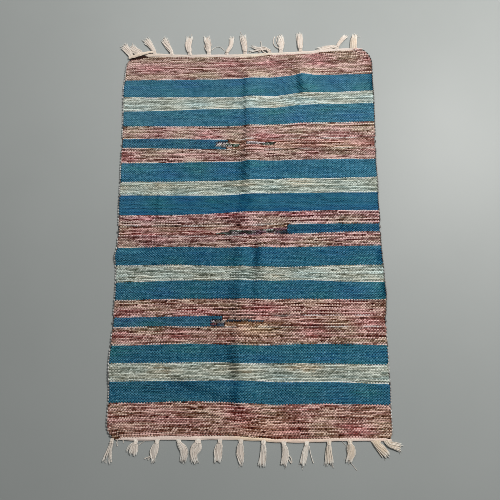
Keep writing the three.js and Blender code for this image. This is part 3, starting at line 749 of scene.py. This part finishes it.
pick_number = 0
turns = {-1.0: [], 1.0: []}
for band_no, band in enumerate(BANDS):
    n = band["picks"]
    widths = rng.uniform(0.88, 1.12, n)
    cuts = np.concatenate([[0], np.cumsum(widths)]) / widths.sum()
    strip = []
    lines = [runs_of(rng, WARP_ENDS, YARNS[band["weft"]]["runs"]) if band["weft"] in YARNS else runs_of(rng, WARP_ENDS, 12)
             for _ in range(n + 1)]
    for k in range(n):
        parity = pick_number % 2
        pick_number += 1
        x, up, bead = RINGS[parity]
        above, below = change(band["above"], x), change(band["below"], x)
        pitch = np.abs(above - below) * (cuts[k + 1] - cuts[k])
        y = above + (below - above) * 0.5 * (cuts[k] + cuts[k + 1])
        y = y + 0.22 * waves(x, np.full_like(x, 31.0 * pick_number), 21, 26.0)
        px = across(x + WARP_STRAY[bead], y)
        lie = {key: np.full(len(x), float(value)) for key, value in lie_of(band["weft"]).items()}
        for yarn, x0, x1 in SHORT_STRIPES.get(band["weft"], [()] * n)[k]:
            for key, value in lie_of(yarn).items():
                lie[key][(x >= x0) & (x < x1)] = value
        lie["swing"] *= 0.55 + 0.45 * band.get("crisp", 1.0)
        thick = lie["thick"] * np.clip(pitch / 3.0, 0.8, 1.15)
        swell = 1 + 0.08 * waves(x, np.full_like(x, 57.0 * pick_number), 23, 17.0)
        z = lift(px, y) + MID_HEIGHT + lie["swing"] * up * swell
        path = np.stack([px, y, z], 1)
        half_wide = lie["wide"] * pitch * np.where(up > 0, 1.0, 0.9)
        lean = lie["lean"] * (1 + 0.4 * waves(px, y, 37, 110.0)) * smooth((WIDTH / 2 - np.abs(x)) / 8)
        hatch = np.clip(0.4 + 0.9 * waves(px, 3.0 * y, 39, 85.0), 0, 1)
        strip.append((path, half_wide, thick, up, bead, x, lean, hatch))

    if band["weft"] in SHORT_STRIPES:
        for k, (path, half_wide, thick, up, bead, x, lean, hatch) in enumerate(strip):
            used = {}
            for yarn, x0, x1 in SHORT_STRIPES[band["weft"]][k]:
                piece = piece_of(band, yarn)
                if piece not in used:
                    used[piece] = slots_used.get(piece, 0)
                    slots_used[piece] = used[piece] + 1
                keep = np.where((x >= x0) & (x < x1))[0]
                if len(keep) < 3:
                    continue
                spots = np.searchsorted(bead, np.arange(WARP_ENDS))
                line = runs_of(rng, WARP_ENDS, YARNS[yarn]["runs"]) if yarn != "rose" else lines[k + 1] - 0.45 * lines[k]
                tone = dyed_and_shaded(rng, yarn, path[spots, 0], path[spots, 1], line, band)[bead]
                tone = shaded(tone, up, lie_of(yarn), hatch)
                weft_tube(piece, path[keep], half_wide[keep], thick[keep], tone[keep], np.full(len(keep), used[piece]), lean[keep])
        continue

    # One continuous yarn goes to and fro, turning round the edge warp at each side.
    lie = dict(lie_of(band["weft"]))
    for key, share in (("side", "crisp"), ("dip", "crisp"), ("hatch", "open")):
        lie[key] *= band.get(share, 1.0)
    paths, wides, thicks, tones, slots, leans = [], [], [], [], [], []
    for k, (path, half_wide, thick, up, bead, x, lean, hatch) in enumerate(strip):
        slot = slots_used.get(band["piece"], 0)
        slots_used[band["piece"]] = slot + 1
        neighbour = (k == 0 and band["above"]) or (k == n - 1 and band["below"]) or ""
        rim = 0.0
        spots = np.searchsorted(bead, np.arange(WARP_ENDS))
        if band["weft"] == "blue":
            rim = -5.0 if neighbour else 0.0
        elif "blue" in neighbour or "short" in neighbour:
            rim = EDGE_PALE * np.clip(1 + 1.1 * waves(path[spots, 0], 9.0 * path[spots, 1], 41, 55.0), 0, 2.2)
        elif neighbour in END_DARK:
            rim = -END_DARK[neighbour]
        floats = dyed_and_shaded(rng, band["weft"], path[spots, 0], path[spots, 1], lines[k + 1] - 0.45 * lines[k], band, rim)
        tone = shaded(floats[bead], up, lie, hatch)
        order = slice(None) if k % 2 == 0 else slice(None, None, -1)
        path, half_wide, thick, tone = path[order], half_wide[order], thick[order], tone[order]
        paths.append(path); wides.append(half_wide); thicks.append(thick); tones.append(tone); leans.append(lean[order])
        slots.append(np.full(len(path), slot, float))
        if k + 1 < n:
            nxt = strip[k + 1][0][order]
            a, b = path[-1], nxt[-1]
            out = 1.0 if k % 2 == 0 else -1.0
            mid = 0.5 * (a + b)
            turns[out].append(mid[1])
            level = lift(mid[0], mid[1]) + MID_HEIGHT
            turn = np.array([
                [a[0] + out * 1.7, a[1] + 0.12 * (b[1] - a[1]), level + 0.4],
                [mid[0] + out * 2.6, mid[1], level],
                [b[0] + out * 1.7, b[1] - 0.12 * (b[1] - a[1]), level - 0.4],
            ])
            girth = 0.36 * abs(b[1] - a[1])
            paths.append(turn)
            wides.append(np.full(3, girth))
            thicks.append(np.full(3, float(thick[-1]) * 0.95))
            tones.append(shaded(np.tile(floats[-1 if k % 2 == 0 else 0] - LOOP_DARK, (3, 1, 1)), np.ones(3), lie, np.zeros(3)))
            slots.append(np.full(3, slot, float))
            leans.append(np.zeros(3))
    weft_tube(band["piece"], np.concatenate(paths), np.concatenate(wides), np.concatenate(thicks),
              np.concatenate(tones), np.concatenate(slots), np.concatenate(leans))

weft_pieces = {name: b.make(name, weft_cotton) for name, b in builders.items()}

# ---------------------------------------------------------------------------
# Ground: the warp sheet that the weft hides, coloured dark as painted shade, with its doubled edge cords
# ---------------------------------------------------------------------------

EDGE_CORD = (48, 36, 32)  # the doubled edge warp where it is drawn in and shaded
# How much of the edge cords shows pale, rather than in the shaded EDGE_CORD colour, along the left and the right side.
CORD_PALE = {
    -1.0: [dict(y=460, pale=0.8), dict(y=250, pale=0.9), dict(y=0, pale=0.6), dict(y=-120, pale=0.75), dict(y=-330, pale=0.8), dict(y=-460, pale=0.4)],
    1.0: [dict(y=460, pale=0.1), dict(y=120, pale=0.25), dict(y=-150, pale=0.2), dict(y=-240, pale=0.75), dict(y=-460, pale=0.7)],
}
SHADED_BARE_WARP = dict(x=-253.0, over=9.0, deep=5.0)  # at the far left the dark warp sheet reaches out under the slipped heading, as painted shadow beneath it
ground_builder = Builder()
gx = np.linspace(-WIDTH / 2 + 3.0, WIDTH / 2 - 3.0, 101)
gt = np.linspace(0.0, 1.0, 121)
GX, GT = np.meshgrid(gx, gt)
ground_near = near_end(GX) + 0.55 * along(ENDS, "x", "headBottom", GX) + 0.6
ground_far = far_end(GX) - 0.55 * along(ENDS, "x", "headTop", GX) - 0.6
ground_far = ground_far + SHADED_BARE_WARP["deep"] * smooth((SHADED_BARE_WARP["x"] - GX) / SHADED_BARE_WARP["over"])
GY = ground_near + (ground_far - ground_near) * GT
GPX = across(GX, GY)
GZ = lift(GPX, GY) + MID_HEIGHT
top_grid = np.stack([GPX, GY, GZ + 0.1], -1)
low_grid = np.stack([GPX, GY, GZ - 0.5], -1)
WARP_SHADE = {"rose": (44, 18, 10), "blue": (3, 40, 60), "sage": (56, 64, 54)}  # painted shade: the hidden warp coloured as a dark copy of each band's weft, as it shows in the shade between the wefts
warp_shade_colour = np.tile(linear(WARP_SHADE["rose"]), GX.shape + (1,))
for band in BANDS:
    inside = (GY >= change(band["below"], GX)) & (GY < change(band["above"], GX))
    warp_shade_colour[inside] = linear(WARP_SHADE.get(band["weft"], WARP_SHADE["rose"]))
ground_builder.sheet(top_grid[::-1], low_grid[::-1], warp_shade_colour[::-1])


def round_tube(builder, path, radius, colour, sides, u, v0, v1, high=None):
    """A tube along path, (n, 3), with a radius at each ring, or flattened to half its height high."""
    way = np.gradient(path, axis=0)
    way /= np.linalg.norm(way, axis=1)[:, None] + 1e-9
    up = np.tile([0.0, 0.0, 1.0], (len(path), 1))
    side = np.cross(up, way)
    length = np.linalg.norm(side, axis=1)[:, None]
    side = np.where(length > 0.05, side / np.maximum(length, 1e-6), np.array([1.0, 0.0, 0.0]))
    up = np.cross(way, side)
    a = np.arange(sides) / sides * 2 * math.pi
    r = radius[:, None, None]
    h = r if high is None else high[:, None, None]
    rings = path[:, None, :] + r * np.cos(a)[None, :, None] * side[:, None, :] + h * np.sin(a)[None, :, None] * up[:, None, :]
    tint = np.repeat(colour[:, None, :], sides, 1)
    builder.tube(rings, tint, u, np.full(len(path), v0), np.full(len(path), v1))


# The edge cords: drawn in under each turn of the weft, bulging pale between the turns.
for edge_x, out in ((-WIDTH / 2, -1.0), (WIDTH / 2, 1.0)):
    held = np.sort(np.array(turns[out]))
    between = 0.5 * (held[1:] + held[:-1])
    reach = np.minimum(0.5 * (held[1:] - held[:-1]), 4.0)
    y = (between[:, None] + reach[:, None] * np.array([-0.8, -0.42, 0.42, 0.8])[None, :]).ravel()
    m = len(y)
    fat = np.tile([0.0, 1.0, 1.0, 0.0], len(between))
    px = across(np.full(m, edge_x), y) + out * (0.6 + 1.35 * fat)
    cord = np.stack([px, y, lift(px, y) + MID_HEIGHT - 0.2 + 0.8 * fat], 1)
    pale = CORD_PALE[out]
    shown = along(pale, "y", "pale", y) * np.repeat(np.random.default_rng(61).uniform(0.15, 1.0, len(between)), 4) * fat
    tint = linear(EDGE_CORD) * (1 - shown)[:, None] + linear((242, 240, 236)) * shown[:, None]
    low_v = 0.002 if out < 0 else 0.005
    round_tube(ground_builder, cord, 0.45 + 0.95 * fat, tint, 5, np.linspace(0.01, 0.99, m), low_v, low_v + 0.002)
ground = ground_builder.make("ground_warp_in_shade", warp_cotton)


def plied(builder, path, radius, colour, twist, start, sides, u, v0, v1, open_end=0.0):
    """A two-ply yarn: two thin strands wound round each other along path."""
    way = np.gradient(path, axis=0)
    gone = np.concatenate([[0], np.cumsum(np.linalg.norm(np.diff(path, axis=0), axis=1))])
    way /= np.linalg.norm(way, axis=1)[:, None] + 1e-9
    side = np.cross([0.0, 0.0, 1.0], way)
    side /= np.linalg.norm(side, axis=1)[:, None] + 1e-6
    up = np.cross(way, side)
    total = gone[-1] + 1e-6
    splay = 1 + open_end * smooth((gone / total - 0.75) / 0.25)
    for ply in (0, 1):
        a = start + ply * math.pi + gone / twist * 2 * math.pi
        r = (radius * 0.5 * splay)[:, None]
        centre = path + r * (np.cos(a)[:, None] * side + np.sin(a)[:, None] * up)
        half = (v1 - v0) / 2
        round_tube(builder, centre, radius * 0.58, colour, sides, u, v0 + ply * half, v0 + ply * half + half * 0.9)


# ---------------------------------------------------------------------------
# Headings and tassels
# ---------------------------------------------------------------------------

# From left to right: where each tassel leaves its heading, the places its middle passes, its tip,
# then how wide it is half way and at the tip. web: how much of the heading its root takes up;
# turn: how far the bundle is twisted; fork: how far its two halves part at the tip; core: how much
# of its inside is filled; tan: how far it has yellowed.
TOP_TASSELS = [
    dict(x=-287, off=3.6, via=((-295, 458),), end=(-309, 477), belly=16, tip=21, web=8, neck=12, turn=0.4, strands=17, core=0.9),
    dict(x=-265, off=1.6, via=((-277, 460),), end=(-292, 473), belly=18, tip=20, web=17, neck=17, turn=0.3, strands=18, core=0.95),
    dict(x=-229, via=((-239, 473),), end=(-254, 494), belly=13, tip=17, web=9, turn=0.9, fork=1),
    dict(x=-186, via=((-197, 471),), end=(-209, 496), belly=13, tip=15, web=8, turn=1.0, fork=1),
    dict(x=-142, via=((-146, 471),), end=(-145, 497), belly=17, tip=17, web=10, turn=-1.2),
    dict(x=-95, via=((-97, 467),), end=(-102, 496), belly=18, tip=15, web=9, turn=1.9),
    dict(x=-52, via=((-42, 468),), end=(-39, 493), belly=11, tip=13, web=9, turn=0.6, strands=11),
    dict(x=-6, via=((-8, 470),), end=(-12, 498), belly=15, tip=17, web=9, turn=1.4),
    dict(x=54, via=((41, 460), (27, 459)), end=(9, 465), belly=8, tip=8, web=8, turn=0.9, strands=7, core=0.7),
    dict(x=56, via=((44, 456), (24, 455)), end=(4, 452), belly=6, tip=8, web=6, turn=0.6, strands=5, core=0.5),
    dict(x=81, via=((83, 473),), end=(81, 496), belly=16, tip=11, web=9, turn=0.8),
    dict(x=129, via=((128, 477),), end=(128, 501), belly=16, tip=16, web=9, turn=-0.9),
    dict(x=218, via=((196, 457.5),), end=(168, 452.5), belly=12, tip=9, web=7, turn=0.8, strands=10, core=0.95),
    dict(x=217, via=((229, 476),), end=(243, 491), belly=11, tip=15, web=7, turn=0.6, strands=11),
    dict(x=257, via=((259, 475),), end=(264, 493), belly=20, tip=18, web=17, neck=16, turn=0.7, strands=17, tan=0.4),
]
BOTTOM_TASSELS = [
    dict(x=-287, via=((-292, -470),), end=(-297, -495), belly=12, tip=15, web=6, turn=0.3, strands=9, fork=3, core=0),
    dict(x=-236, via=((-240, -464),), end=(-245, -479), belly=21, tip=20, web=10, turn=0.4, fork=3),
    dict(x=-191, via=((-196, -468),), end=(-198, -494), belly=18, tip=6, web=10, turn=0.8),
    dict(x=-146, via=((-135, -468),), end=(-136, -494), belly=17, tip=14, web=10, turn=-0.9),
    dict(x=-106, via=((-114, -463), (-116, -479)), end=(-112, -495), belly=13, tip=9, web=7, turn=0.8, strands=10),
    dict(x=-103, via=((-102, -461), (-104, -468), (-110, -475), (-110, -484)), end=(-107, -494), belly=14, tip=8, web=7, turn=0.4, strands=9),
    dict(x=-59, via=((-62, -470),), end=(-64, -495), belly=19, tip=16, web=10, turn=1.3),
    dict(x=-15, via=((-17, -471),), end=(-13, -499), belly=18, tip=8, web=11, turn=0.9),
    dict(x=32, via=((32, -476),), end=(27, -501), belly=15, tip=16, web=11, turn=1.1),
    dict(x=74, via=((77, -468),), end=(74, -501), belly=16, tip=16, web=11, turn=-0.8),
    dict(x=122, via=((118, -474),), end=(110, -500), belly=14, tip=15, web=10, turn=1.0),
    dict(x=168, via=((167, -473),), end=(166, -498), belly=15, tip=20, web=10, turn=0.7, tan=0.35),
    dict(x=211, via=((213, -468),), end=(207, -492), belly=20, tip=14, web=11, turn=-1.0, tan=0.4),
    dict(x=265, via=((275, -465),), end=(288, -482), belly=17, tip=18, web=22, neck=15, turn=0.5, strands=17, tan=0.5),
    dict(x=288, via=((301, -459),), end=(316, -465), belly=15, tip=18, web=16, neck=12, turn=0.4, tan=0.5),
]
# Single loose threads: start, end, sideways bow, thickness.
TOP_THREADS = [
    dict(x1=-89, y1=458, x2=-57, y2=457, bow=9.5, thick=0.6),
    dict(x1=36, y1=461, x2=33, y2=480, bow=1.5, thick=0.9),
    dict(x1=44, y1=446, x2=33, y2=459, bow=1.5, thick=1.5),
    dict(x1=33, y1=457, x2=26, y2=449, bow=0.8, thick=1.3),
    dict(x1=77, y1=458, x2=67, y2=491, bow=8.7, thick=1.2),
    dict(x1=79, y1=463, x2=74, y2=493, bow=5, thick=1.1),
    dict(x1=-12, y1=495, x2=-18, y2=508, bow=0, thick=0.5),
    dict(x1=-140, y1=493, x2=-139, y2=505, bow=1, thick=0.5),
]
BOTTOM_THREADS = [
    dict(x1=-292, y1=-466, x2=-286, y2=-494, bow=0, thick=1.0),
    dict(x1=-276, y1=-450, x2=-275, y2=-462, bow=-1, thick=0.9),
    dict(x1=-266, y1=-450, x2=-262, y2=-456, bow=1, thick=0.8),
    dict(x1=-234, y1=-462, x2=-215, y2=-450, bow=0, thick=0.6),
    dict(x1=-201, y1=-480, x2=-217, y2=-487, bow=0, thick=1.0),
    dict(x1=-200, y1=-482, x2=-210, y2=-489, bow=0, thick=1.0),
    dict(x1=81, y1=-476, x2=90, y2=-494, bow=2.7, thick=1.0),
    dict(x1=79, y1=-478, x2=89, y2=-495, bow=0, thick=1.0),
    dict(x1=127, y1=-461, x2=135, y2=-494, bow=-1, thick=1.0),
    dict(x1=210, y1=-491, x2=223, y2=-508, bow=0, thick=0.5),
    dict(x1=195, y1=-451, x2=206, y2=-466, bow=1, thick=0.4),
]
STRANDS = 14
STRAND_STEPS = 19
STRAND_RADIUS = 1.05
FLOOR_SIDES = 5
HAIRS = 5
HEADING_YARNS = 8
NECK = 5.5  # how far out of the heading a tassel is drawn together
# Where each heading's strip starts and stops, and its display colour on the way.
# The near heading's colours are set lighter: partly its own colour, partly painted light against the shade on its outer
# yarns.
HEADINGS = {
    1: dict(start=-253.0, stop=279.0, shades=[
        dict(x=-300, r=224, g=209, b=195), dict(x=-60, r=218, g=205, b=196),
        dict(x=20, r=224, g=212, b=196), dict(x=120, r=222, g=209, b=199), dict(x=300, r=214, g=201, b=194)]),
    -1: dict(start=-280.0, stop=297.0, shades=[
        dict(x=-300, r=234, g=215, b=205), dict(x=-150, r=244, g=224, b=213), dict(x=-60, r=240, g=219, b=206),
        dict(x=10, r=242, g=219, b=193), dict(x=80, r=244, g=221, b=204), dict(x=140, r=240, g=217, b=200),
        dict(x=220, r=243, g=221, b=209), dict(x=300, r=237, g=213, b=199)]),
}
# At the far left the end of the heading has slipped off the cloth and stands clear of it: the
# middle of that loose strip, with its width and its height above the floor.
SLIPPED = [
    dict(x=-226, y=454.5, wide=2.5, z=3.2),
    dict(x=-240, y=455.0, wide=4.0, z=4.6),
    dict(x=-254, y=451.4, wide=5.5, z=5.4),
    dict(x=-268, y=447.4, wide=6.5, z=5.6),
    dict(x=-281, y=443.7, wide=6.5, z=5.2),
    dict(x=-293, y=440.6, wide=4.5, z=4.2),
]
SLIPPED_YARNS = 5


def fringe(name, tassels, threads, side, seed):
    r = np.random.default_rng(seed)
    b = Builder()
    edge, head = (far_end, "headTop") if side > 0 else (near_end, "headBottom")
    tubes = HEADING_YARNS + SLIPPED_YARNS + sum(t.get("strands", STRANDS) + HAIRS + 2 for t in tassels) + len(threads)
    per = (tubes + 1) // 2
    row = [0]

    def slot():
        """The next free strip of the texture, in two columns."""
        i = row[0]
        row[0] += 1
        column, line = i % 2, i // 2
        return 0.01 + 0.5 * column, 0.48 + 0.5 * column, (line + 0.1) / per, (line + 0.9) / per

    def tone(n, wear=0.0, bleached=0.0, tan=0.0):
        # the near fringe's base colour is lighter, as painted light for the weaker light at the near end
        base = linear((230, 221, 211) if side > 0 else (234, 227, 217)) * (1 + r.normal(0, 0.035))
        warm = linear((214, 197, 184)) * (1 - tan) + linear((222, 200, 164)) * tan
        wear = wear + 0.5 * tan
        mix = np.clip(0.3 + 0.25 * drift(r, n, 8) + wear, 0, 1)[:, None]
        pale = bleached * smooth((np.linspace(0, 1, n) - 0.7) / 0.3)[:, None]
        return (base * (1 - mix) + warm * mix) * (1 - pale) + linear((230, 230, 225)) * pale

    # Heading: fine cream yarns packed side by side into a low rounded strip.
    h = HEADINGS[side]
    n = 270
    x = np.linspace(h["start"], h["stop"], n)
    outer = edge(x)
    px = x
    taper = smooth((x - x[0]) / (9 if side > 0 else 16)) * smooth((x[-1] - x) / 16)
    half = (np.minimum(along(ENDS, "x", head, x) / 2 + 0.6, 5.2) - 0.75) * (0.3 + 0.7 * taper)
    shade = np.stack([along(h["shades"], "x", c, x) for c in "rgb"], 1)
    for i in range(HEADING_YARNS):
        f = i / (HEADING_YARNS - 1) * 2 - 1
        y = outer - side * (half + 0.75) + f * half + 0.12 * waves(x, 40.0 * i + 0 * x, seed + 3, 40.0)
        z = lift(px, y) + 1.5 + 0.8 * (1 - f * f)
        radius = 0.80 + 0.05 * waves(x, 9.0 * i + 0 * x, seed + 5, 25.0)
        light = 1 + 0.035 * drift(r, n, 9) + r.normal(0, 0.02)
        u0, u1, v0, v1 = slot()
        round_tube(b, np.stack([px, y, z], 1), radius, linear(shade) * light[:, None], FLOOR_SIDES, np.linspace(u0, u1, n), v0, v1)

    if side > 0:
        m = 40
        x = np.linspace(SLIPPED[0]["x"], SLIPPED[-1]["x"], m)
        middle = np.stack([x, along(SLIPPED, "x", "y", x)], 1)
        way = np.gradient(middle, axis=0)
        way /= np.linalg.norm(way, axis=1)[:, None]
        for i in range(SLIPPED_YARNS):
            f = i / (SLIPPED_YARNS - 1) * 2 - 1
            half = along(SLIPPED, "x", "wide", x) / 2
            flat = middle + np.stack([-way[:, 1], way[:, 0]], 1) * (f * half + 0.15 * drift(r, m, 9))[:, None]
            z = along(SLIPPED, "x", "z", x) + 0.7 * (1 - f * f)
            u0, u1, v0, v1 = slot()
            shade = linear((226, 211, 195)) * (1 + 0.05 * drift(r, m, 7) + r.normal(0, 0.02))[:, None]
            round_tube(b, np.concatenate([flat, z[:, None]], 1), np.full(m, 0.85), shade, FLOOR_SIDES, np.linspace(u0, u1, m), v0, v1)

    for t in tassels:
        x0 = float(t["x"])
        y0 = float(edge(np.array([x0]))[0]) + side * t.get("off", 0.0)
        via = np.array(t["via"], float)
        leave = via[0] - np.array([x0, y0])
        leave /= np.linalg.norm(leave)
        neck = np.array([x0, y0]) + NECK * (0.4 * np.array([0.0, side]) + 0.6 * leave)
        points = np.vstack([[x0, y0 - side * 3.4], neck, via, t["end"]])
        gone = np.concatenate([[0], np.cumsum(np.linalg.norm(np.diff(points, axis=0), axis=1))])
        length, at = gone[-1], gone / gone[-1]

        def spine(s):
            here = np.stack([curve_through(at, points[:, 0], s), curve_through(at, points[:, 1], s)], 1)
            past = np.clip(s - 1, 0, None)[:, None] * length
            return here + past * (points[-1] - points[-2]) / np.linalg.norm(points[-1] - points[-2])

        steps = STRAND_STEPS
        s = np.linspace(0, 1, steps)
        middle = spine(s)
        way = np.gradient(middle, axis=0)
        way /= np.linalg.norm(way, axis=1)[:, None] + 1e-9
        perp = np.stack([way[:, 1], -way[:, 0]], 1)
        root_lift = float(lift(x0, y0))
        n_at = at[1]
        belly, tip = t["belly"] / 2 - 0.9, t["tip"] / 2 - 0.9
        slim = t.get("neck", 8.4) / 2 - 0.9
        wide = np.interp(s, [0, n_at, n_at + 0.14, 0.6, 1.0], [t["web"] / 2, slim, max(0.8 * belly, slim), belly, tip])
        tall = np.interp(s, [0, n_at, 0.45, 1.0], [0.7, 2.3, 1.9, 1.1])
        middle_high = np.interp(s, [0, n_at, n_at + 0.3, 1.0], [root_lift + 1.5, 0.9 * root_lift + 2.9, 2.9 + 0.2 * root_lift, 2.1])
        twist = t["turn"] * smooth((s - n_at) / (1 - n_at))
        count = t.get("strands", STRANDS)
        batch = r.normal(0, 0.12)
        for i in range(count):
            # the strands lie round the bundle, which turns a little and flattens towards the tip
            f = (i + 0.5) / count * 2 - 1
            g = math.sqrt(1 - f * f) * r.uniform(0.45, 1.0) * (1 if (i + int(r.integers(0, 2))) % 2 else -1)
            cross = 1.06 * wide * (f * np.cos(twist) - g * np.sin(twist))
            height = middle_high + 0.9 * tall * (f * np.sin(twist) + g * np.cos(twist))
            long = 1.0 - abs(r.normal(0, 0.07)) + (0.06 if r.random() < 0.25 else 0)
            stop = s * long
            curl = 0.9 * drift(r, steps, 6) * s**1.2 + r.normal(0, 1.2) * s**3 + np.sign(f) * t.get("fork", 0) * smooth((s - 0.45) / 0.55)
            flat = spine(stop) + perp * (cross + curl)[:, None]
            radius = STRAND_RADIUS * np.interp(s, [0, 0.12, 0.88, 1], [0.8, 1.0, 1.0, 0.62]) * (1 + 0.07 * r.normal())
            z = np.maximum(height + 0.4 * drift(r, steps, 6) * s, (1.12 + 0.35 * smooth((s - 0.75) / 0.25)) * radius + 0.12)
            u0, u1, v0, v1 = slot()
            plied(b, np.concatenate([flat, z[:, None]], 1), radius, tone(steps, batch + 0.10 * r.normal(), 0.7, t.get("tan", 0.0)), 6.0, r.uniform(0, 6.28),
                  FLOOR_SIDES, np.linspace(u0, u1, steps), v0, v1, open_end=0.7)
        # the inner strands, as one soft core, coloured darker (0.85) as painted shade between the strands
        core = np.concatenate([spine(s * 0.93), (middle_high - 0.1)[:, None]], 1)
        full = t.get("core", 1.0)
        high = full * np.minimum(0.9 * tall, core[:, 2] - 0.3) * np.interp(s, [0, 0.85, 1], [1, 1, 0.4])
        u0, u1, v0, v1 = slot()
        if full > 0:
            round_tube(b, core, full * 0.9 * wide * np.interp(s, [0, 0.8, 1], [1, 1, 0.72]), 0.85 * tone(steps, 0.2, 0.0, t.get("tan", 0.0)), 8,
                       np.linspace(u0, u1, steps), v0, v1, high=high)
        # a turn of the same yarn draws the neck together
        m = 24
        q = np.linspace(0, 1, m)
        ang = q * 2.6 * math.pi + r.uniform(0, 6.28)
        spot = spine(n_at + (q - 0.5) * 1.6 / length)
        pn = perp[int(round(n_at * (steps - 1)))]
        zn = np.interp(n_at, s, middle_high)
        path = np.stack([spot[:, 0] + pn[0] * (slim + 0.7) * np.cos(ang), spot[:, 1] + pn[1] * (slim + 0.7) * np.cos(ang), zn + 2.6 * np.sin(ang)], 1)
        path[:, 2] = np.maximum(path[:, 2], 0.9)
        u0, u1, v0, v1 = slot()
        if slim < 5:
            round_tube(b, path, np.full(m, 0.7), tone(m, 0.1), 4, np.linspace(u0, u1, m), v0, v1)
        # loose fibre ends
        for _ in range(HAIRS):
            m = 7
            q = np.linspace(0, 1, m)
            begin = r.uniform(0.72, 0.95)
            reach = r.uniform(0.09, 0.2)
            off = r.uniform(-1, 1) * np.interp(begin, s, wide)
            flat = spine(begin + reach * q)
            dirn = perp[-1]
            flat = flat + dirn * (off * (1 + 0.35 * q) + r.normal(0, 2.4) * q**2)[:, None]
            z = np.maximum(np.interp(begin, s, middle_high) + 0.6 * drift(r, m, 4) - 0.8 * q, 0.6)
            u0, u1, v0, v1 = slot()
            round_tube(b, np.concatenate([flat, z[:, None]], 1), np.full(m, 0.36) * np.interp(q, [0, 0.7, 1], [1, 1, 0.5]), tone(m, 0.0, 0.6), 3,
                       np.linspace(u0, u1, m), v0, v1)

    for th in threads:
        m = 16
        q = np.linspace(0, 1, m)
        p0, p3 = np.array([th["x1"], th["y1"]], float), np.array([th["x2"], th["y2"]], float)
        d = p3 - p0
        perp = np.array([-d[1], d[0]]) / np.linalg.norm(d)
        c = p0 + d * q[:, None] + perp * (th["bow"] * 4 * q * (1 - q) + 0.5 * drift(r, m, 5))[:, None]
        z = np.interp(q, [0, 0.3, 1], [2.6, 1.45, 1.45]) * th["thick"] + 0.2
        path = np.concatenate([c, z[:, None]], 1)
        u0, u1, v0, v1 = slot()
        plied(b, path, np.full(m, th["thick"]), tone(m), 6.0, 0.0, FLOOR_SIDES, np.linspace(u0, u1, m), v0, v1, open_end=0.6)
    return b.make(name, warp_cotton)


far_fringe = fringe("fringe_far", TOP_TASSELS, TOP_THREADS, 1, 41)
near_fringe = fringe("fringe_near", BOTTOM_TASSELS, BOTTOM_THREADS, -1, 42)

# ---------------------------------------------------------------------------
# What stands for what
# ---------------------------------------------------------------------------

for ob in weft_pieces.values():
    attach(ob, "root")
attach(ground, "root")
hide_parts("cloth")
for ob, node in ((far_fringe, "fringe_top"), (near_fringe, "fringe_bottom")):
    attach(ob, "root")
    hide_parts(node)

# ---------------------------------------------------------------------------
# Floor, light and camera
# ---------------------------------------------------------------------------

floor_mesh = bpy.data.meshes.new("floor")
floor_mesh.from_pydata([(-6, -6, 0), (6, -6, 0), (6, 6, 0), (-6, 6, 0)], [], [(0, 1, 2, 3)])
floor = bpy.data.objects.new("floor", floor_mesh)
bpy.context.scene.collection.objects.link(floor)
floor_mat = bpy.data.materials.new("floor_paint")
floor_mat.use_nodes = True
floor_bsdf = floor_mat.node_tree.nodes["Principled BSDF"]
floor_bsdf.inputs["Roughness"].default_value = 0.42
floor_bsdf.inputs["Specular IOR Level"].default_value = 0.2
fn, fl = floor_mat.node_tree.nodes, floor_mat.node_tree.links
cloud = fn.new("ShaderNodeTexNoise")
cloud.inputs["Scale"].default_value = 2.5
cloud.inputs["Detail"].default_value = 5.0
spot = fn.new("ShaderNodeTexCoord")
fl.new(spot.outputs["Object"], cloud.inputs["Vector"])
ramp = fn.new("ShaderNodeValToRGB")
ramp.color_ramp.elements[0].position = 0.3
ramp.color_ramp.elements[0].color = (0.322, 0.341, 0.334, 1)
ramp.color_ramp.elements[1].position = 0.7
ramp.color_ramp.elements[1].color = (0.348, 0.367, 0.360, 1)
fl.new(cloud.outputs["Fac"], ramp.inputs["Fac"])
fl.new(ramp.outputs["Color"], floor_bsdf.inputs["Base Color"])
floor_mesh.materials.append(floor_mat)

world = bpy.data.worlds.new("studio")
world.use_nodes = True
world.node_tree.nodes["Background"].inputs["Color"].default_value = (0.93, 0.97, 1.0, 1)
world.node_tree.nodes["Background"].inputs["Strength"].default_value = 0.13
bpy.context.scene.world = world


def area_light(name, place, target, size, watts, colour):
    data = bpy.data.lights.new(name, "AREA")
    data.shape = "DISK"
    data.size = size
    data.energy = watts
    data.color = colour
    ob = bpy.data.objects.new(name, data)
    ob.location = place
    ob.rotation_euler = (Vector(target) - Vector(place)).to_track_quat("-Z", "Y").to_euler()
    bpy.context.scene.collection.objects.link(ob)
    return ob


area_light("key", (1.18, 0.92, 1.90), (0.0, 0.0, 0.0), 0.8, 56.0, (1.0, 0.985, 0.96))
area_light("fill", (-0.45, 1.35, 1.35), (-0.1, 0.3, 0.0), 1.0, 7.5, (1.0, 0.99, 0.97))

CAMERA_TILT = (11.55, 1.91, -0.51)  # degrees about X, Y and Z
CAMERA_PLACE = (42.2, -269.3, 1104.1)
rx, ry, rz = (math.radians(a) for a in CAMERA_TILT)
turn = Matrix.Rotation(rx, 4, "X") @ Matrix.Rotation(ry, 4, "Y") @ Matrix.Rotation(rz, 4, "Z")
camera_data = bpy.data.cameras.new("camera")
camera_data.sensor_width = 36.0
camera_data.lens = 36.0
camera_data.clip_start = 0.05
camera_data.clip_end = 50.0
camera = bpy.data.objects.new("camera", camera_data)
place = Vector(((CAMERA_PLACE[0] + SHIFT_X) / 1000, (CAMERA_PLACE[1] + SHIFT_Y) / 1000, CAMERA_PLACE[2] / 1000))
camera.matrix_world = Matrix.Translation(place) @ turn
bpy.context.scene.collection.objects.link(camera)
bpy.context.scene.camera = camera
bpy.context.scene.view_settings.view_transform = "Standard"
bpy.context.scene.cycles.filter_width = 0.9
bpy.context.scene.cycles.denoising_prefilter = "NONE"
